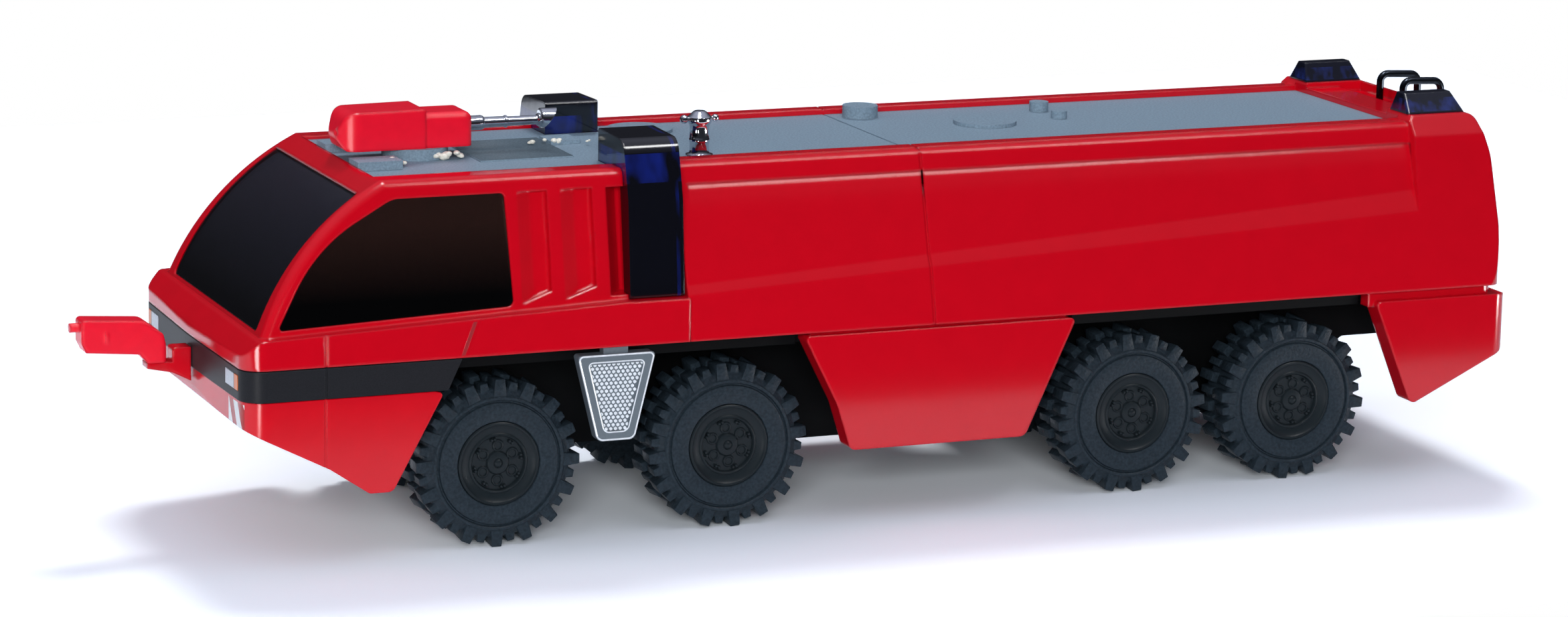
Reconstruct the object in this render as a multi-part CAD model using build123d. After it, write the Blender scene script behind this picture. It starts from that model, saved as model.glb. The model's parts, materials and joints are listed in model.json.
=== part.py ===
from build123d import *
import os
from math import cos, degrees, hypot, pi, radians, sin, tan

# An 8x8 airport fire truck as a small plastic scale model. Millimetres, +X forward, +Y to the
# vehicle's left, +Z up. The pieces are drawn from one datum near the cab's rear edge and moved
# when they are written, so that the origin is on the ground under the middle of the model.

# Overall form
HALF_W = 17.25          # half width of the body along its lower line
TYRE_R = 7.9
ARCH_GAP = 2.85         # from the tyres' tops up to the body's lower line
BODY_Z = 2 * TYRE_R + ARCH_GAP  # lower line of the cab and the tank body
ROOF_H = 15.9           # from that line up to the cab roof
NOSE_X = 59.05          # foremost point of the bumper band
SEAM_X = 16.25          # joint between the cab and the tank body
TAIL_X = -70.1          # rear wall of the tank body
SEAM_GAP = 0.1          # open joint between neighbouring mouldings
FIT = 0.03              # gap round a pane or an insert in its seat
WALL = 0.9              # wall of the hollow mouldings
GROOVE_W = 0.22         # panel joints cut into the skin
GROOVE_DEPTH = 0.12
OUTSIDE = HALF_W + 5.0  # clear of the widest piece, for cutting tools

# Decks and roof levels
DECK_T = 0.6            # thickness of the two deck inserts
DECK_SINK = 0.35        # the decks lie this far below the cab roof
RIM_RISE = 0.2          # the tank's edge stands this far above the cab roof
PLATFORM_RISE = 0.55    # the rear lamps' platforms stand this far above the tank's edge
CAB_EAVES = 6.15        # from the body's side in to the cab deck
TANK_EAVES = 6.75       # from the body's side in to the tank deck
ROOF_Z = BODY_Z + ROOF_H
RIM_Z = ROOF_Z + RIM_RISE
PLATFORM_Z = RIM_Z + PLATFORM_RISE
DECK_Z = ROOF_Z - DECK_SINK
DECK_LOW_Z = DECK_Z - DECK_T
ABOVE = PLATFORM_Z + 5.0
CAB_DECK_HALF = HALF_W - CAB_EAVES
TANK_DECK_HALF = HALF_W - TANK_EAVES

# Cab
WAIST_FRONT_H = 2.65    # waist ledge above the lower line, at the nose
WAIST_REAR_H = 4.35     # and at the joint with the tank
NOSE_CORNER_R = 2.2
NOSE_CROWN = 0.35       # the nose stands forward by this in the middle
UPPER_STEP = 0.65       # the upper cab starts this far inside the body's side
UPPER_LEAN = 0.179      # its sides lean in by this much for each millimetre up
SCREEN_FOOT_BACK = 2.3  # foot of the windscreen, back from the nose
SCREEN_FOOT_H = 2.75
SCREEN_HEAD_DROP = 1.1  # below the roof
SCREEN_BULGE = 3.3      # its bend stands this far off the straight from foot to roof
SCREEN_ARC = 0.97       # share of the straights at the bend that its arc takes
CAB_DECK_BACK = 14.2    # front edge of the cab deck, back from the nose
PILLAR_FOOT_W = 2.25    # from the cab's side to the windscreen glass
PILLAR_HEAD_W = 1.2
EAVES_R = 0.9           # rounding of the pillars and roof edges
PANE_T = 0.5
PANE_INSET = 0.12       # glass lies this far below the outer skin
WINDOW_REAR_X = 33.0
WINDOW_SILL = 0.45      # above the waist ledge
WINDOW_HEAD_DROP = 1.6
WINDOW_BEND_BACK = 1.93 # its front bend, behind and below that of the windscreen
WINDOW_BEND_DROP = 1.2
DOOR_SEAM_BACK = 7.9    # upright panel joint, back from the nose
FLUTE_DEPTH = 0.75
FLUTES = (
    # rear wall, start at the skin: two upright grooves behind the side window
    (29.3, 32.2),
    (24.95, 28.05),
)

# Tall beacons on the cab's rear corners
BEACON_L = 5.35
BEACON_REAR_GAP = 0.25  # behind the beacon, to the tank
BEACON_W = 9.95         # from the body's side in to its inner face
BEACON_RISE = 2.75      # above the roof
BEACON_SINK = 2.2       # the skin ahead of the beacon falls in by this
BEACON_SINK_L = 1.75
BEACON_REAR_X = SEAM_X + BEACON_REAR_GAP
BEACON_FRONT_X = BEACON_REAR_X + BEACON_L
BEACON_FOOT_Z = BODY_Z + WAIST_REAR_H - 0.25

# Bumper band, apron and printed lamps
BAND_H = 3.0
BAND_T = 1.0
BAND_REAR_BACK = 19.3   # the band ends above the first axle
APRON_T = 1.2
APRON_INSET = 0.25      # behind the band's face
APRON_FRONT_H = 2.45    # height of the apron at the nose
APRON_LOW_H = 9.0       # and down to its lowest edge
LAMP_W = 3.7
LAMP_INNER_Y = HALF_W - 2.05 - LAMP_W
LAMP_H = 1.45
LAMP_SINK = 0.9
BAND_LOW_Z = BODY_Z - BAND_H

# Wheels
TYRE_INSET = 2.35       # outer face of the tyres inside the body's side
TYRE_W = 5.7
TREAD_H = 0.8
TYRE_RIDGE_R = 5.9      # ridge between the flat of the side wall and its outer slope
LUGS = 32               # round the tread, long and short in turn
RIM_R = 3.78
AXLE_R = 0.75
AXLE_BORE_GAP = 0.06    # running clearance of an axle in the chassis, radial
HUB_HOLES = 5
REAR_TYRE_GAP = 1.8     # between the tyres of the last two axles
THIRD_AXLE_X = -30.8
AXLE_X = (34.0, 11.35, THIRD_AXLE_X, THIRD_AXLE_X - 2 * TYRE_R - REAR_TYRE_GAP)
TYRE_FACE_Y = HALF_W - TYRE_INSET
TYRE_BACK_Y = TYRE_FACE_Y - TYRE_W

# Chassis
PAN_GAP = 1.6           # between the chassis pan and the tyres
PAN_KEEL = 0.4          # the pan reaches this far below the middle of the axles
PAN_DROP = 0.65         # below the body's lower line
PAN_WALL = 1.1
PLATE_T = 0.6
BOSS_R = 1.7
BOSS_L = 1.2
PAN_HALF = TYRE_BACK_Y - PAN_GAP
PAN_TOP_Z = BODY_Z - PAN_DROP
PAN_LOW_Z = TYRE_R - PAN_KEEL
PAN_FRONT_X = 50.3
PAN_REAR_X = -66.5
FLOOR_PLATES = (
    # rear x, front x, distance inside the body's side
    (-68.3, -54.6, 2.75),
    (-54.6, -23.4, 1.45),
    (-23.4, 5.2, 2.35),
    (5.2, PAN_FRONT_X, 1.55),
)

# Side lockers, rear skirt and entry steps
LOCKER_T = 2.25
LOCKER_FRONT_X = 4.9
LOCKER_REAR_X = -23.2
SKIRT_LOW_Z = BODY_Z - 11.52
SKIRT_TOP_Z = BODY_Z - 0.3
REAR_SKIRT_L = 15.0
REAR_SKIRT_OVERHANG = 0.7
STEP_X = 23.5
STEP_TOP_W = 7.6
STEP_LOW_W = 3.6
STEP_LOW_Z = BODY_Z - 8.79
STEP_T = 1.3

# Roof monitor
MONITOR_X = 37.3        # swivel axis
RING_H = 1.05
RING_R = 3.1
PIVOT_R = 1.2
PIVOT_H = 2.0
PIVOT_GAP = 0.05        # running clearance of both monitors, radial
MONITOR_FLOOR_Z = DECK_Z + RING_H
MONITOR_HALF = 2.5
MONITOR_H = 3.7
MONITOR_FRONT_X = 45.4
MONITOR_REAR_X = 32.35

# Bumper monitor
BUMPER_PIVOT_X = NOSE_X + 3.25
BUMPER_PIVOT_R = 0.45
BUMPER_PIVOT_H = 2.2
BUMPER_FLOOR_Z = BODY_Z - 2.3
BUMPER_HALF = 1.15
BUMPER_L = 7.05         # from the pivot to the front of the housing
JET_L = 0.87

# Tank body: leaning sides with a sunk field above a bevel that climbs to the rear
TANK_LEAN_LOW = 0.227   # inwards for each millimetre up, below the bend of the side
TANK_LEAN_HIGH = 0.2
TANK_BEND_H = 5.55
FIELD_LEAN = 0.2835
FIELD_DEPTH = 0.25
FIELD_FRONT_H = 4.15    # bevel above the lower line, at the cab
FIELD_REAR_H = 7.65
BEVEL_SLOPE = 2.0
TANK_GROOVE_X = -8.4
SHOULDER_FIELD = 0.3    # rounded edge of the roof below the rim, on the field
SHOULDER_REAR = 1.35    # and on the rear corners

# Rear lamps, post, ladder
LAMP_PLATFORM_X = (-61.4, -67.8)
LAMP_PLATFORM_Y = (TANK_DECK_HALF - 2.0, TANK_DECK_HALF + 1.7)
LAMP_TOP_X = (-61.6, -66.9)
LAMP_TOP_Y = (TANK_DECK_HALF - 1.1, TANK_DECK_HALF + 0.3)
REAR_LAMP_H = 1.9
POST_X = 12.2
POST_R = 1.35           # foot of the chromed post
POST_Y = TANK_DECK_HALF - 0.75 - POST_R
LADDER_HALF = 2.3
LADDER_WIRE = 0.38
LADDER_OFF = 0.8        # rails stand this far off the rear wall
LADDER_TOP_H = 2.25     # arch above the tank's edge
LADDER_FOOT_Z = BODY_Z + 1.95
LADDER_RUNGS = 5
TROUGH_X = (-65.2, -67.7)
TROUGH_HALF = TANK_DECK_HALF - 2.2
TROUGH_Z = ROOF_Z - 0.25
LADDER_X = TAIL_X - LADDER_OFF

# Middle of the overall length, between the ladder's rails and the tip of the bumper monitor
MIDDLE_X = (BUMPER_PIVOT_X + BUMPER_L + JET_L + LADDER_X - LADDER_WIRE) / 2

SIDES = (("left", 1), ("right", -1))
UPRIGHT = (Align.CENTER, Align.CENTER, Align.MIN)


def outline(rows):
    """Closed face in a plane from corner rows: u, v and the corner's radius."""
    count = len(rows)
    ends = []
    for i, (u, v, radius) in enumerate(rows):
        here = Vector(u, v)
        before = Vector(*rows[i - 1][:2]) - here
        after = Vector(*rows[(i + 1) % count][:2]) - here
        if radius == 0:
            ends.append((here, None, here))
            continue
        a, b = before.normalized(), after.normalized()
        half = radians(a.get_angle(b)) / 2
        reach = radius / tan(half)
        axis = (a + b).normalized()
        middle = here + axis * (radius / sin(half) - radius)
        ends.append((here + a * reach, middle, here + b * reach))
    edges = []
    for i, (start, middle, end) in enumerate(ends):
        if middle is not None:
            edges.append(ThreePointArc(start, middle, end))
        following = ends[(i + 1) % count][0]
        if (following - end).length > 1e-6:
            edges.append(Line(end, following))
    return make_face(Wire(edges))


def side_prism(rows, y0, y1):
    """Solid from an outline in X and Z, between two Y planes."""
    face = Plane(origin=(0, y0, 0), x_dir=(1, 0, 0), z_dir=(0, -1, 0)) * outline(rows)
    return extrude(face, amount=y1 - y0, dir=(0, 1, 0))


def section_prism(rows, x0, x1):
    """Solid from an outline in Y and Z, between two X planes."""
    return extrude(Plane.YZ.offset(x0) * outline(rows), amount=x1 - x0)


def plan_prism(rows, z0, z1):
    """Solid from an outline in X and Y, between two heights."""
    return extrude(Plane.XY.offset(z0) * outline(rows), amount=z1 - z0)


def mirrored(rows):
    """Outline rows of one half (first value positive) closed by its mirror image."""
    return list(rows) + [(-u, v, r) for u, v, r in reversed(rows)]


def box(x0, x1, y0, y1, z0, z1):
    """Block between three pairs of planes."""
    return Pos((x0 + x1) / 2, (y0 + y1) / 2, (z0 + z1) / 2) * Box(abs(x1 - x0), abs(y1 - y0), abs(z1 - z0))


def disc(x, y, z, radius, height):
    """Upright cylinder that stands on a level."""
    return Pos(x, y, z) * Cylinder(radius, height, align=UPRIGHT)


def rod(start, end, radius):
    """Round bar between two points."""
    start, end = Vector(*start), Vector(*end)
    plane = Plane(origin=start, z_dir=end - start)
    return extrude(plane * Circle(radius), amount=(end - start).length)


def bent_wire(points, radii, gauge):
    """Six-sided wire through points, with a bend of its own radius at each inner one."""
    path = FilletPolyline(*points, radius=radii)
    wire = None
    for run in path.edges():
        section = Plane(origin=run @ 0, x_dir=(0, 1, 0), z_dir=run % 0) * RegularPolygon(gauge, 6)
        if run.geom_type == GeomType.LINE:
            piece = extrude(section, amount=run.length)
        else:
            spoke = run @ 0 - run.arc_center
            piece = revolve(section, Axis(run.arc_center, spoke.cross(run % 0)), degrees(run.length / run.radius))
        wire = piece if wire is None else wire + piece
    return wire


def flip(part, side):
    """The part as drawn on the left, or its mirror image on the right."""
    return part if side > 0 else mirror(part, about=Plane.XZ)


# The cab

def nose_plan(inset):
    """Plan of the cab, the band and the apron: a blunt nose with rounded corners."""
    half = HALF_W - inset
    front = NOSE_X - inset
    corner = (front - NOSE_CROWN, half, NOSE_CORNER_R)
    return [(0, half, 0), corner, (front, 0, 150), (corner[0], -half, NOSE_CORNER_R), (0, -half, 0)]


def waist_z(x):
    """Height of the waist ledge, which climbs to the rear."""
    share = (NOSE_X - x) / (NOSE_X - SEAM_X)
    return BODY_Z + WAIST_FRONT_H + share * (WAIST_REAR_H - WAIST_FRONT_H)


def upper_half(z):
    """Half width of the upper cab, whose sides lean inwards."""
    return HALF_W - UPPER_STEP - UPPER_LEAN * (z - BODY_Z)


def cab_lower(inset):
    """Waist block below the window ledge, set in from the outer skin."""
    rear = SEAM_X + SEAM_GAP / 2 + inset
    front = NOSE_X - inset
    ledge_back = 1.9
    brow_h = 0.9
    profile = [
        (rear, BODY_Z - 1, 0),
        (front, BODY_Z - 1, 0),
        (front, BODY_Z + brow_h, 1.2),
        (front - ledge_back, BODY_Z + WAIST_FRONT_H - inset, 0.7),
        (rear, BODY_Z + WAIST_REAR_H - inset, 0),
    ]
    block = plan_prism(nose_plan(inset), BODY_Z, BODY_Z + WAIST_REAR_H + 1)
    return block & side_prism(profile, -HALF_W, HALF_W)


def screen_line():
    """Corners of the windscreen's side view: foot, bend and the roof's front edge."""
    foot = Vector(NOSE_X - SCREEN_FOOT_BACK, BODY_Z + SCREEN_FOOT_H)
    roof = Vector(NOSE_X - CAB_DECK_BACK, ROOF_Z)
    outwards = Vector((roof - foot).Y, (foot - roof).X).normalized()
    bend = (foot + roof) * 0.5 + outwards * SCREEN_BULGE
    return (foot.X, foot.Y), (bend.X, bend.Y), (roof.X, roof.Y)


def bend_radius(before, corner, after, share):
    """Radius of the arc at a corner that takes this share of the shorter straight."""
    a, b = Vector(*before) - Vector(*corner), Vector(*after) - Vector(*corner)
    return share * min(a.length, b.length) * tan(radians(a.get_angle(b)) / 2)


def cab_upper(inset):
    """Upper cab with its raked, curved windscreen face and rounded roof edges."""
    rear = SEAM_X + SEAM_GAP / 2 + inset
    (foot_x, foot_z), (bend_x, bend_z), (roof_x, roof_z) = screen_line()
    foot = (foot_x - inset, foot_z)
    bend = (bend_x - 0.8 * inset, bend_z - 0.6 * inset)
    roof = (roof_x - 0.6 * inset, roof_z - inset)
    profile = [
        (rear, BODY_Z, 0),
        (foot_x + 1.0 - inset, BODY_Z, 0),
        (*foot, 0),
        (*bend, bend_radius(foot, bend, roof, SCREEN_ARC)),
        (*roof, 0),
        (rear, ROOF_Z - inset, 0),
    ]
    section = [(upper_half(BODY_Z) - inset, BODY_Z, 0), (upper_half(ROOF_Z) - inset, ROOF_Z, 0)]
    solid = side_prism(profile, -HALF_W, HALF_W) & section_prism(mirrored(section), 0, NOSE_X)
    outer = upper_half(ROOF_Z) - inset - 0.5
    edges = [
        e for e in solid.edges()
        if abs(e.center().Y) > outer and e.center().Z > foot_z and e.center().X > rear + 1
    ]
    return fillet(edges, EAVES_R)


def screen_cutter(gap):
    """Windscreen opening, a tapered hole that runs in from the front."""
    low = BODY_Z + SCREEN_FOOT_H + 0.12
    high = ROOF_Z - SCREEN_HEAD_DROP - 0.12
    foot = upper_half(low) - PILLAR_FOOT_W - gap
    head = upper_half(high) - PILLAR_HEAD_W - gap
    rows = [(foot, low + gap, 0.5), (head, high - gap, 0.4)]
    return extrude(Plane.YZ.offset(NOSE_X - CAB_DECK_BACK - 3) * outline(mirrored(rows)), amount=30)


def side_window_cutter(side, gap):
    """Side window opening, which follows the sill, the screen pillar and the roof edge."""
    (foot_x, _), (bend_x, bend_z), _ = screen_line()
    front_x = foot_x - 1.45
    head_z = ROOF_Z - WINDOW_HEAD_DROP - gap
    rows = [
        (WINDOW_REAR_X + gap, waist_z(WINDOW_REAR_X) + WINDOW_SILL + gap, 0.6),
        (front_x - gap, waist_z(front_x) + WINDOW_SILL + gap, 0.3),
        (bend_x - WINDOW_BEND_BACK - gap, bend_z - WINDOW_BEND_DROP - gap, 15.0),
        (NOSE_X - CAB_DECK_BACK - 0.85 - gap, head_z, 2.5),
        (WINDOW_REAR_X + 0.4 + gap, head_z, 0.5),
    ]
    near, far = sorted((side * PAN_HALF, side * OUTSIDE))
    return side_prism(rows, near, far)


def leaning_cut(rows, low, high):
    """Cutter that follows the leaning cab side: plan rows of x, depth and corner radius."""
    plan = [(x, upper_half(low) - depth, radius) for x, depth, radius in rows]
    face = Plane.XY.offset(low) * outline(plan)
    return extrude(face, amount=(high - low) * hypot(1, UPPER_LEAN), dir=(0, -UPPER_LEAN, 1))


def flute_cutters(side):
    """Two upright grooves behind the side window and the hollow ahead of the beacon."""
    top = ROOF_Z - WINDOW_HEAD_DROP
    proud = -1.5
    cuts = []
    for rear_x, front_x in FLUTES:
        foot = waist_z(front_x) + 0.6
        floor_x = rear_x + 0.5 * (front_x - rear_x)
        plan = [
            (rear_x, proud, 0),
            (rear_x, FLUTE_DEPTH, 0.25),
            (floor_x, FLUTE_DEPTH, 0.8),
            (front_x, 0, 0),
            (front_x, proud, 0),
        ]
        rows = [(rear_x - 1, foot + 1.3, 0), (front_x + 1, foot - 0.4, 0), (front_x + 1, top, 0), (rear_x - 1, top, 0)]
        cut = leaning_cut(plan, foot - 1, top + 1) & side_prism(rows, 0, OUTSIDE)
        cuts.append(flip(cut, side))
    wall_x = BEACON_FRONT_X + FIT
    plan = [
        (wall_x - 1, proud, 0),
        (wall_x - 1, BEACON_SINK, 0),
        (wall_x + 0.1, BEACON_SINK, 0),
        (wall_x + BEACON_SINK_L, 0, 0),
        (wall_x + BEACON_SINK_L, proud, 0),
    ]
    cuts.append(flip(leaning_cut(plan, waist_z(BEACON_FRONT_X) + 0.4, top), side))
    return cuts


def beacon_outer():
    """Left beacon: a tall block over the roof edge that runs down the cab side."""
    inner = HALF_W - BEACON_W
    top = ROOF_Z + BEACON_RISE
    section = [
        (inner, DECK_Z, 0),
        (inner, top, 0.3),
        (HALF_W - 3.3, top - 0.15, 1.6),
        (HALF_W - 1.85, ROOF_Z - 2.85, 4.0),
        (HALF_W - 1.05, BEACON_FOOT_Z, 0.3),
        (HALF_W - 2.65, BEACON_FOOT_Z, 0),
        (HALF_W - 4.25, DECK_Z, 0),
    ]
    return section_prism(section, BEACON_REAR_X, BEACON_FRONT_X)


def beacon_pocket(side):
    """Notch in the cab and its deck that the beacon sits in."""
    inner = HALF_W - BEACON_W - FIT
    rows = [
        (inner, DECK_Z, 0),
        (inner, ABOVE, 0),
        (OUTSIDE, ABOVE, 0),
        (OUTSIDE, BEACON_FOOT_Z - FIT, 0),
        (HALF_W - 2.65 - FIT, BEACON_FOOT_Z - FIT, 0),
        (HALF_W - 4.25 - FIT, DECK_Z, 0),
    ]
    return flip(section_prism(rows, SEAM_X - 1, BEACON_FRONT_X + FIT), side)


def cab_shell():
    """Hollow red cab with its window openings, deck seat, flutes and beacon notches."""
    shell = cab_lower(0) + cab_upper(0)
    hollow = cab_lower(WALL) + cab_upper(WALL)
    thick_front = FLUTES[0][1] + WALL
    thick_inner = CAB_DECK_HALF
    for _, side in SIDES:
        near, far = sorted((side * thick_inner, side * OUTSIDE))
        hollow = hollow - box(SEAM_X, thick_front, near, far, BODY_Z + 1, ABOVE)
    floor_half = HALF_W - WALL - 0.6
    floor_open = box(SEAM_X + WALL, NOSE_X - 7, -floor_half, floor_half, BODY_Z - 1, BODY_Z + 2)
    shell = shell - hollow - floor_open - screen_cutter(0)
    shell = shell - box(SEAM_X - 1, NOSE_X - CAB_DECK_BACK, -CAB_DECK_HALF, CAB_DECK_HALF, DECK_LOW_Z, ABOVE)
    seam_x = NOSE_X - DOOR_SEAM_BACK
    for _, side in SIDES:
        shell = shell - side_window_cutter(side, 0) - beacon_pocket(side)
        for cut in flute_cutters(side):
            shell = shell - cut
        shell = shell - seam_groove(seam_x, side, HALF_W, BODY_Z - 1, waist_z(seam_x) + 1)
    return shell


def seam_groove(x, side, half, z0, z1):
    """Cutter for an upright panel joint in a side face at a half width."""
    near, far = sorted((side * (half - GROOVE_DEPTH), side * OUTSIDE))
    return box(x - GROOVE_W / 2, x + GROOVE_W / 2, near, far, z0, z1)


def pane_skin():
    """Layer of the upper cab that the panes are cut from."""
    return cab_upper(PANE_INSET) - cab_upper(PANE_INSET + PANE_T)


def cab_deck():
    """Grey roof insert of the cab, with tread field, lugs and the monitor's ring."""
    front = NOSE_X - CAB_DECK_BACK - FIT
    half = CAB_DECK_HALF - FIT
    deck = box(SEAM_X + SEAM_GAP, front, -half, half, DECK_LOW_Z, DECK_Z)
    root = DECK_Z - DECK_T / 2
    for _, side in SIDES:
        near, far = sorted((side * (HALF_W - BEACON_W - FIT), side * OUTSIDE))
        deck = deck - box(SEAM_X - 1, BEACON_FRONT_X + FIT, near, far, DECK_LOW_Z - 1, DECK_Z + 1)
        near, far = sorted((side * 0.33 * half, side * 0.58 * half))
        deck = deck + box(front - 4.3, front, near, far, root, DECK_Z + 0.8)
    deck = deck + box(23.5, 32.6, -0.47 * half, 0.47 * half, root, DECK_Z + 0.12)
    deck = deck + box(20.3, 23.3, -0.45 * half, -0.15 * half, root, DECK_Z + 0.35)
    ring = disc(MONITOR_X, 0, root, RING_R, MONITOR_FLOOR_Z - root)
    stem = disc(MONITOR_X, 0, root, PIVOT_R, MONITOR_FLOOR_Z + PIVOT_H - root)
    return deck + ring + stem


def cab_interior():
    """Dark seat insert, with a console behind the windscreen and two rows of seats."""
    seat = BODY_Z + 4.75
    rows = [
        (20.0, BODY_Z, 0),
        (50.0, BODY_Z, 0),
        (52.5, BODY_Z + 1.95, 0),
        (50.5, seat, 0.8),
        (46.8, seat + 0.2, 0),
        (45.6, seat - 2.0, 0),
        (42.2, seat - 2.2, 0),
        (41.4, seat + 5.2, 0.9),
        (39.6, seat + 5.2, 0),
        (38.0, seat, 0),
        (33.6, seat - 0.4, 0),
        (32.8, seat + 4.2, 0.9),
        (30.8, seat + 4.2, 0),
        (30.2, seat - 1.4, 0),
        (20.0, seat - 1.4, 0),
    ]
    half = CAB_DECK_HALF - FIT
    aisle = box(19.0, 45.0, -2.0, 2.0, BODY_Z + 2.5, ABOVE)
    return side_prism(rows, -half, half) - aisle


# Bumper band, apron and the bumper monitor

def band_blank(z0, z1, inset):
    """Slab with the plan of the nose, between two heights."""
    return plan_prism(nose_plan(inset), z0, z1)


def bumper_band():
    """Dark band round the nose, with seats for the printed lamps."""
    low, high = BAND_LOW_Z + SEAM_GAP, BODY_Z - SEAM_GAP
    outer = band_blank(low, high, 0.0)
    inner = band_blank(low - 1, high + 1, BAND_T)
    rear = NOSE_X - BAND_REAR_BACK
    ends = [
        (0, low - 1, 0),
        (rear + 0.6, low - 1, 0),
        (rear, BAND_LOW_Z, 0),
        (rear - 1.4, BODY_Z, 0),
        (rear - 1.4, high + 1, 0),
        (0, high + 1, 0),
    ]
    seam_x = NOSE_X - DOOR_SEAM_BACK
    band = outer - inner - side_prism(ends, -OUTSIDE, OUTSIDE)
    brace = box(seam_x - 0.55, NOSE_X - 1, -HALF_W, HALF_W, low + 0.5, high)
    band = band + (brace & band_blank(low, high, BAND_T - 0.05))
    for _, side in SIDES:
        band = band - seam_groove(seam_x, side, HALF_W, low - 1, high + 1) - lamp_blank(side, 0)
    return band


def lamp_blank(side, gap):
    """Seat of a printed lamp in the band, or the lamp itself with a gap all round."""
    near, far = sorted((side * (LAMP_INNER_Y + gap), side * (LAMP_INNER_Y + LAMP_W - gap)))
    middle = BODY_Z - 0.45 * BAND_H
    low, high = middle - LAMP_H / 2 + gap, middle + LAMP_H / 2 - gap
    return box(NOSE_X - LAMP_SINK + gap, NOSE_X + 1, near, far, low, high)


def front_lamp(side):
    """Lamp block whose face stands just proud of the band."""
    return lamp_blank(side, FIT) & band_blank(BAND_LOW_Z, BODY_Z, -0.04)


def front_apron():
    """Red apron under the band, deepest just ahead of the first wheels."""
    low_z = BAND_LOW_Z - APRON_LOW_H
    skin = band_blank(low_z - 1, BAND_LOW_Z, APRON_INSET) - band_blank(low_z - 2, BAND_LOW_Z + 1, APRON_INSET + APRON_T)
    rear = NOSE_X - BAND_REAR_BACK
    rows = [
        (NOSE_X - 11, BAND_LOW_Z, 0),
        (NOSE_X, BAND_LOW_Z, 0),
        (NOSE_X - 0.4, BAND_LOW_Z - APRON_FRONT_H, 0.3),
        (NOSE_X - 8.3, low_z + 2.5, 0),
        (NOSE_X - 12.0, low_z, 0.8),
        (NOSE_X - 14.2, low_z, 0.8),
        (rear + 0.3, BAND_LOW_Z - 0.2, 0.3),
        (rear + 1.2, BAND_LOW_Z, 0),
    ]
    apron = skin & side_prism(rows, -OUTSIDE, OUTSIDE)
    seam_x = NOSE_X - DOOR_SEAM_BACK
    shelf_half = HALF_W - 1.3
    shelf = box(seam_x - 0.55, NOSE_X - 1.0, -shelf_half, shelf_half, BAND_LOW_Z - 0.7, BAND_LOW_Z)
    apron = apron + (shelf & band_blank(BAND_LOW_Z - 1, BAND_LOW_Z, APRON_INSET + APRON_T - 0.05))
    for _, side in SIDES:
        apron = apron - seam_groove(seam_x, side, HALF_W - APRON_INSET, low_z - 1, BAND_LOW_Z + 1)
    return apron


def bumper_bracket():
    """Block and sloping arm on the nose that carry the bumper monitor on an upright pin."""
    face = NOSE_X + 0.05
    block_front = BUMPER_PIVOT_X - BUMPER_HALF - 0.3
    tip = BUMPER_PIVOT_X + 0.9
    rows = [
        (face, BUMPER_FLOOR_Z - 1.9, 0),
        (block_front, BUMPER_FLOOR_Z - 1.0, 0),
        (tip, BUMPER_FLOOR_Z - 0.5, 0),
        (tip, BUMPER_FLOOR_Z, 0),
        (block_front, BUMPER_FLOOR_Z, 0),
        (block_front, BUMPER_FLOOR_Z + 1.3, 0.3),
        (face, BUMPER_FLOOR_Z + 1.3, 0),
    ]
    arm = side_prism(rows, -0.9, 0.9)
    root = BUMPER_FLOOR_Z - 0.4
    return arm + disc(BUMPER_PIVOT_X, 0, root, BUMPER_PIVOT_R, BUMPER_PIVOT_H - 0.1 - (root - BUMPER_FLOOR_Z))


def bumper_monitor():
    """Red nozzle housing over the pin, with its bevelled nose and small jet tube."""
    floor = BUMPER_FLOOR_Z + PIVOT_GAP
    x = BUMPER_PIVOT_X
    front = x + BUMPER_L
    belly = floor + 1.0
    crown = floor + 4.4
    rows = [
        (x - 0.9, floor, 0.3),
        (x + 0.9, floor, 0.3),
        (x + 1.7, belly - 0.1, 0),
        (front - 0.4, belly + 0.35, 0),
        (front, belly + 1.2, 0),
        (front, crown, 0.4),
        (x + 1.2, crown - 0.4, 1.2),
        (x - 0.55, crown - 1.7, 0.6),
        (x - 0.9, floor + 1.5, 0.4),
    ]
    half = BUMPER_HALF
    plan = [(x - 0.9, -half, 0.45), (front + 1, -half, 0), (front + 1, half, 0), (x - 0.9, half, 0.45)]
    body = side_prism(rows, -half, half) & plan_prism(plan, floor - 1, crown + 1)
    ring = rod((front - 2.5, 0, crown - 1.7), (front - 2.2, 0, crown - 1.7), BUMPER_HALF + 0.15)
    jet = rod((front - 0.3, 0, crown - 0.85), (front + JET_L, 0, crown - 0.85), 0.43)
    bore = disc(x, 0, floor - 1, BUMPER_PIVOT_R + PIVOT_GAP, BUMPER_PIVOT_H + 1)
    return body + ring + jet - bore


# Tank body, its deck and what stands on the roof

def side_y(z, sunk):
    """Half width of the tank body at a height, on its outer skin or on the sunk field."""
    height = z - BODY_Z
    lean = FIELD_LEAN if sunk else TANK_LEAN_HIGH
    depth = FIELD_DEPTH if sunk else 0
    return HALF_W - TANK_LEAN_LOW * min(height, TANK_BEND_H) - lean * max(height - TANK_BEND_H, 0) - depth


def tank_section(inset, sunk):
    """Corner rows of the left half section, from the lower line up to the roof edge."""
    bend_z = BODY_Z + TANK_BEND_H
    shoulder_z = RIM_Z - (SHOULDER_FIELD if sunk else SHOULDER_REAR)
    crest = (TANK_DECK_HALF + 0.6, RIM_Z) if sunk else (TANK_DECK_HALF + 2.2, PLATFORM_Z)
    return [
        (HALF_W - inset, BODY_Z - 1, 0),
        (HALF_W - inset, BODY_Z, 0),
        (side_y(bend_z, sunk) - inset, bend_z, 6),
        (side_y(shoulder_z, sunk) - inset, shoulder_z - 0.5 * inset, 0.5),
        (crest[0] - 0.5 * inset, crest[1] + 0.05 - inset, 0),
    ]


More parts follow.
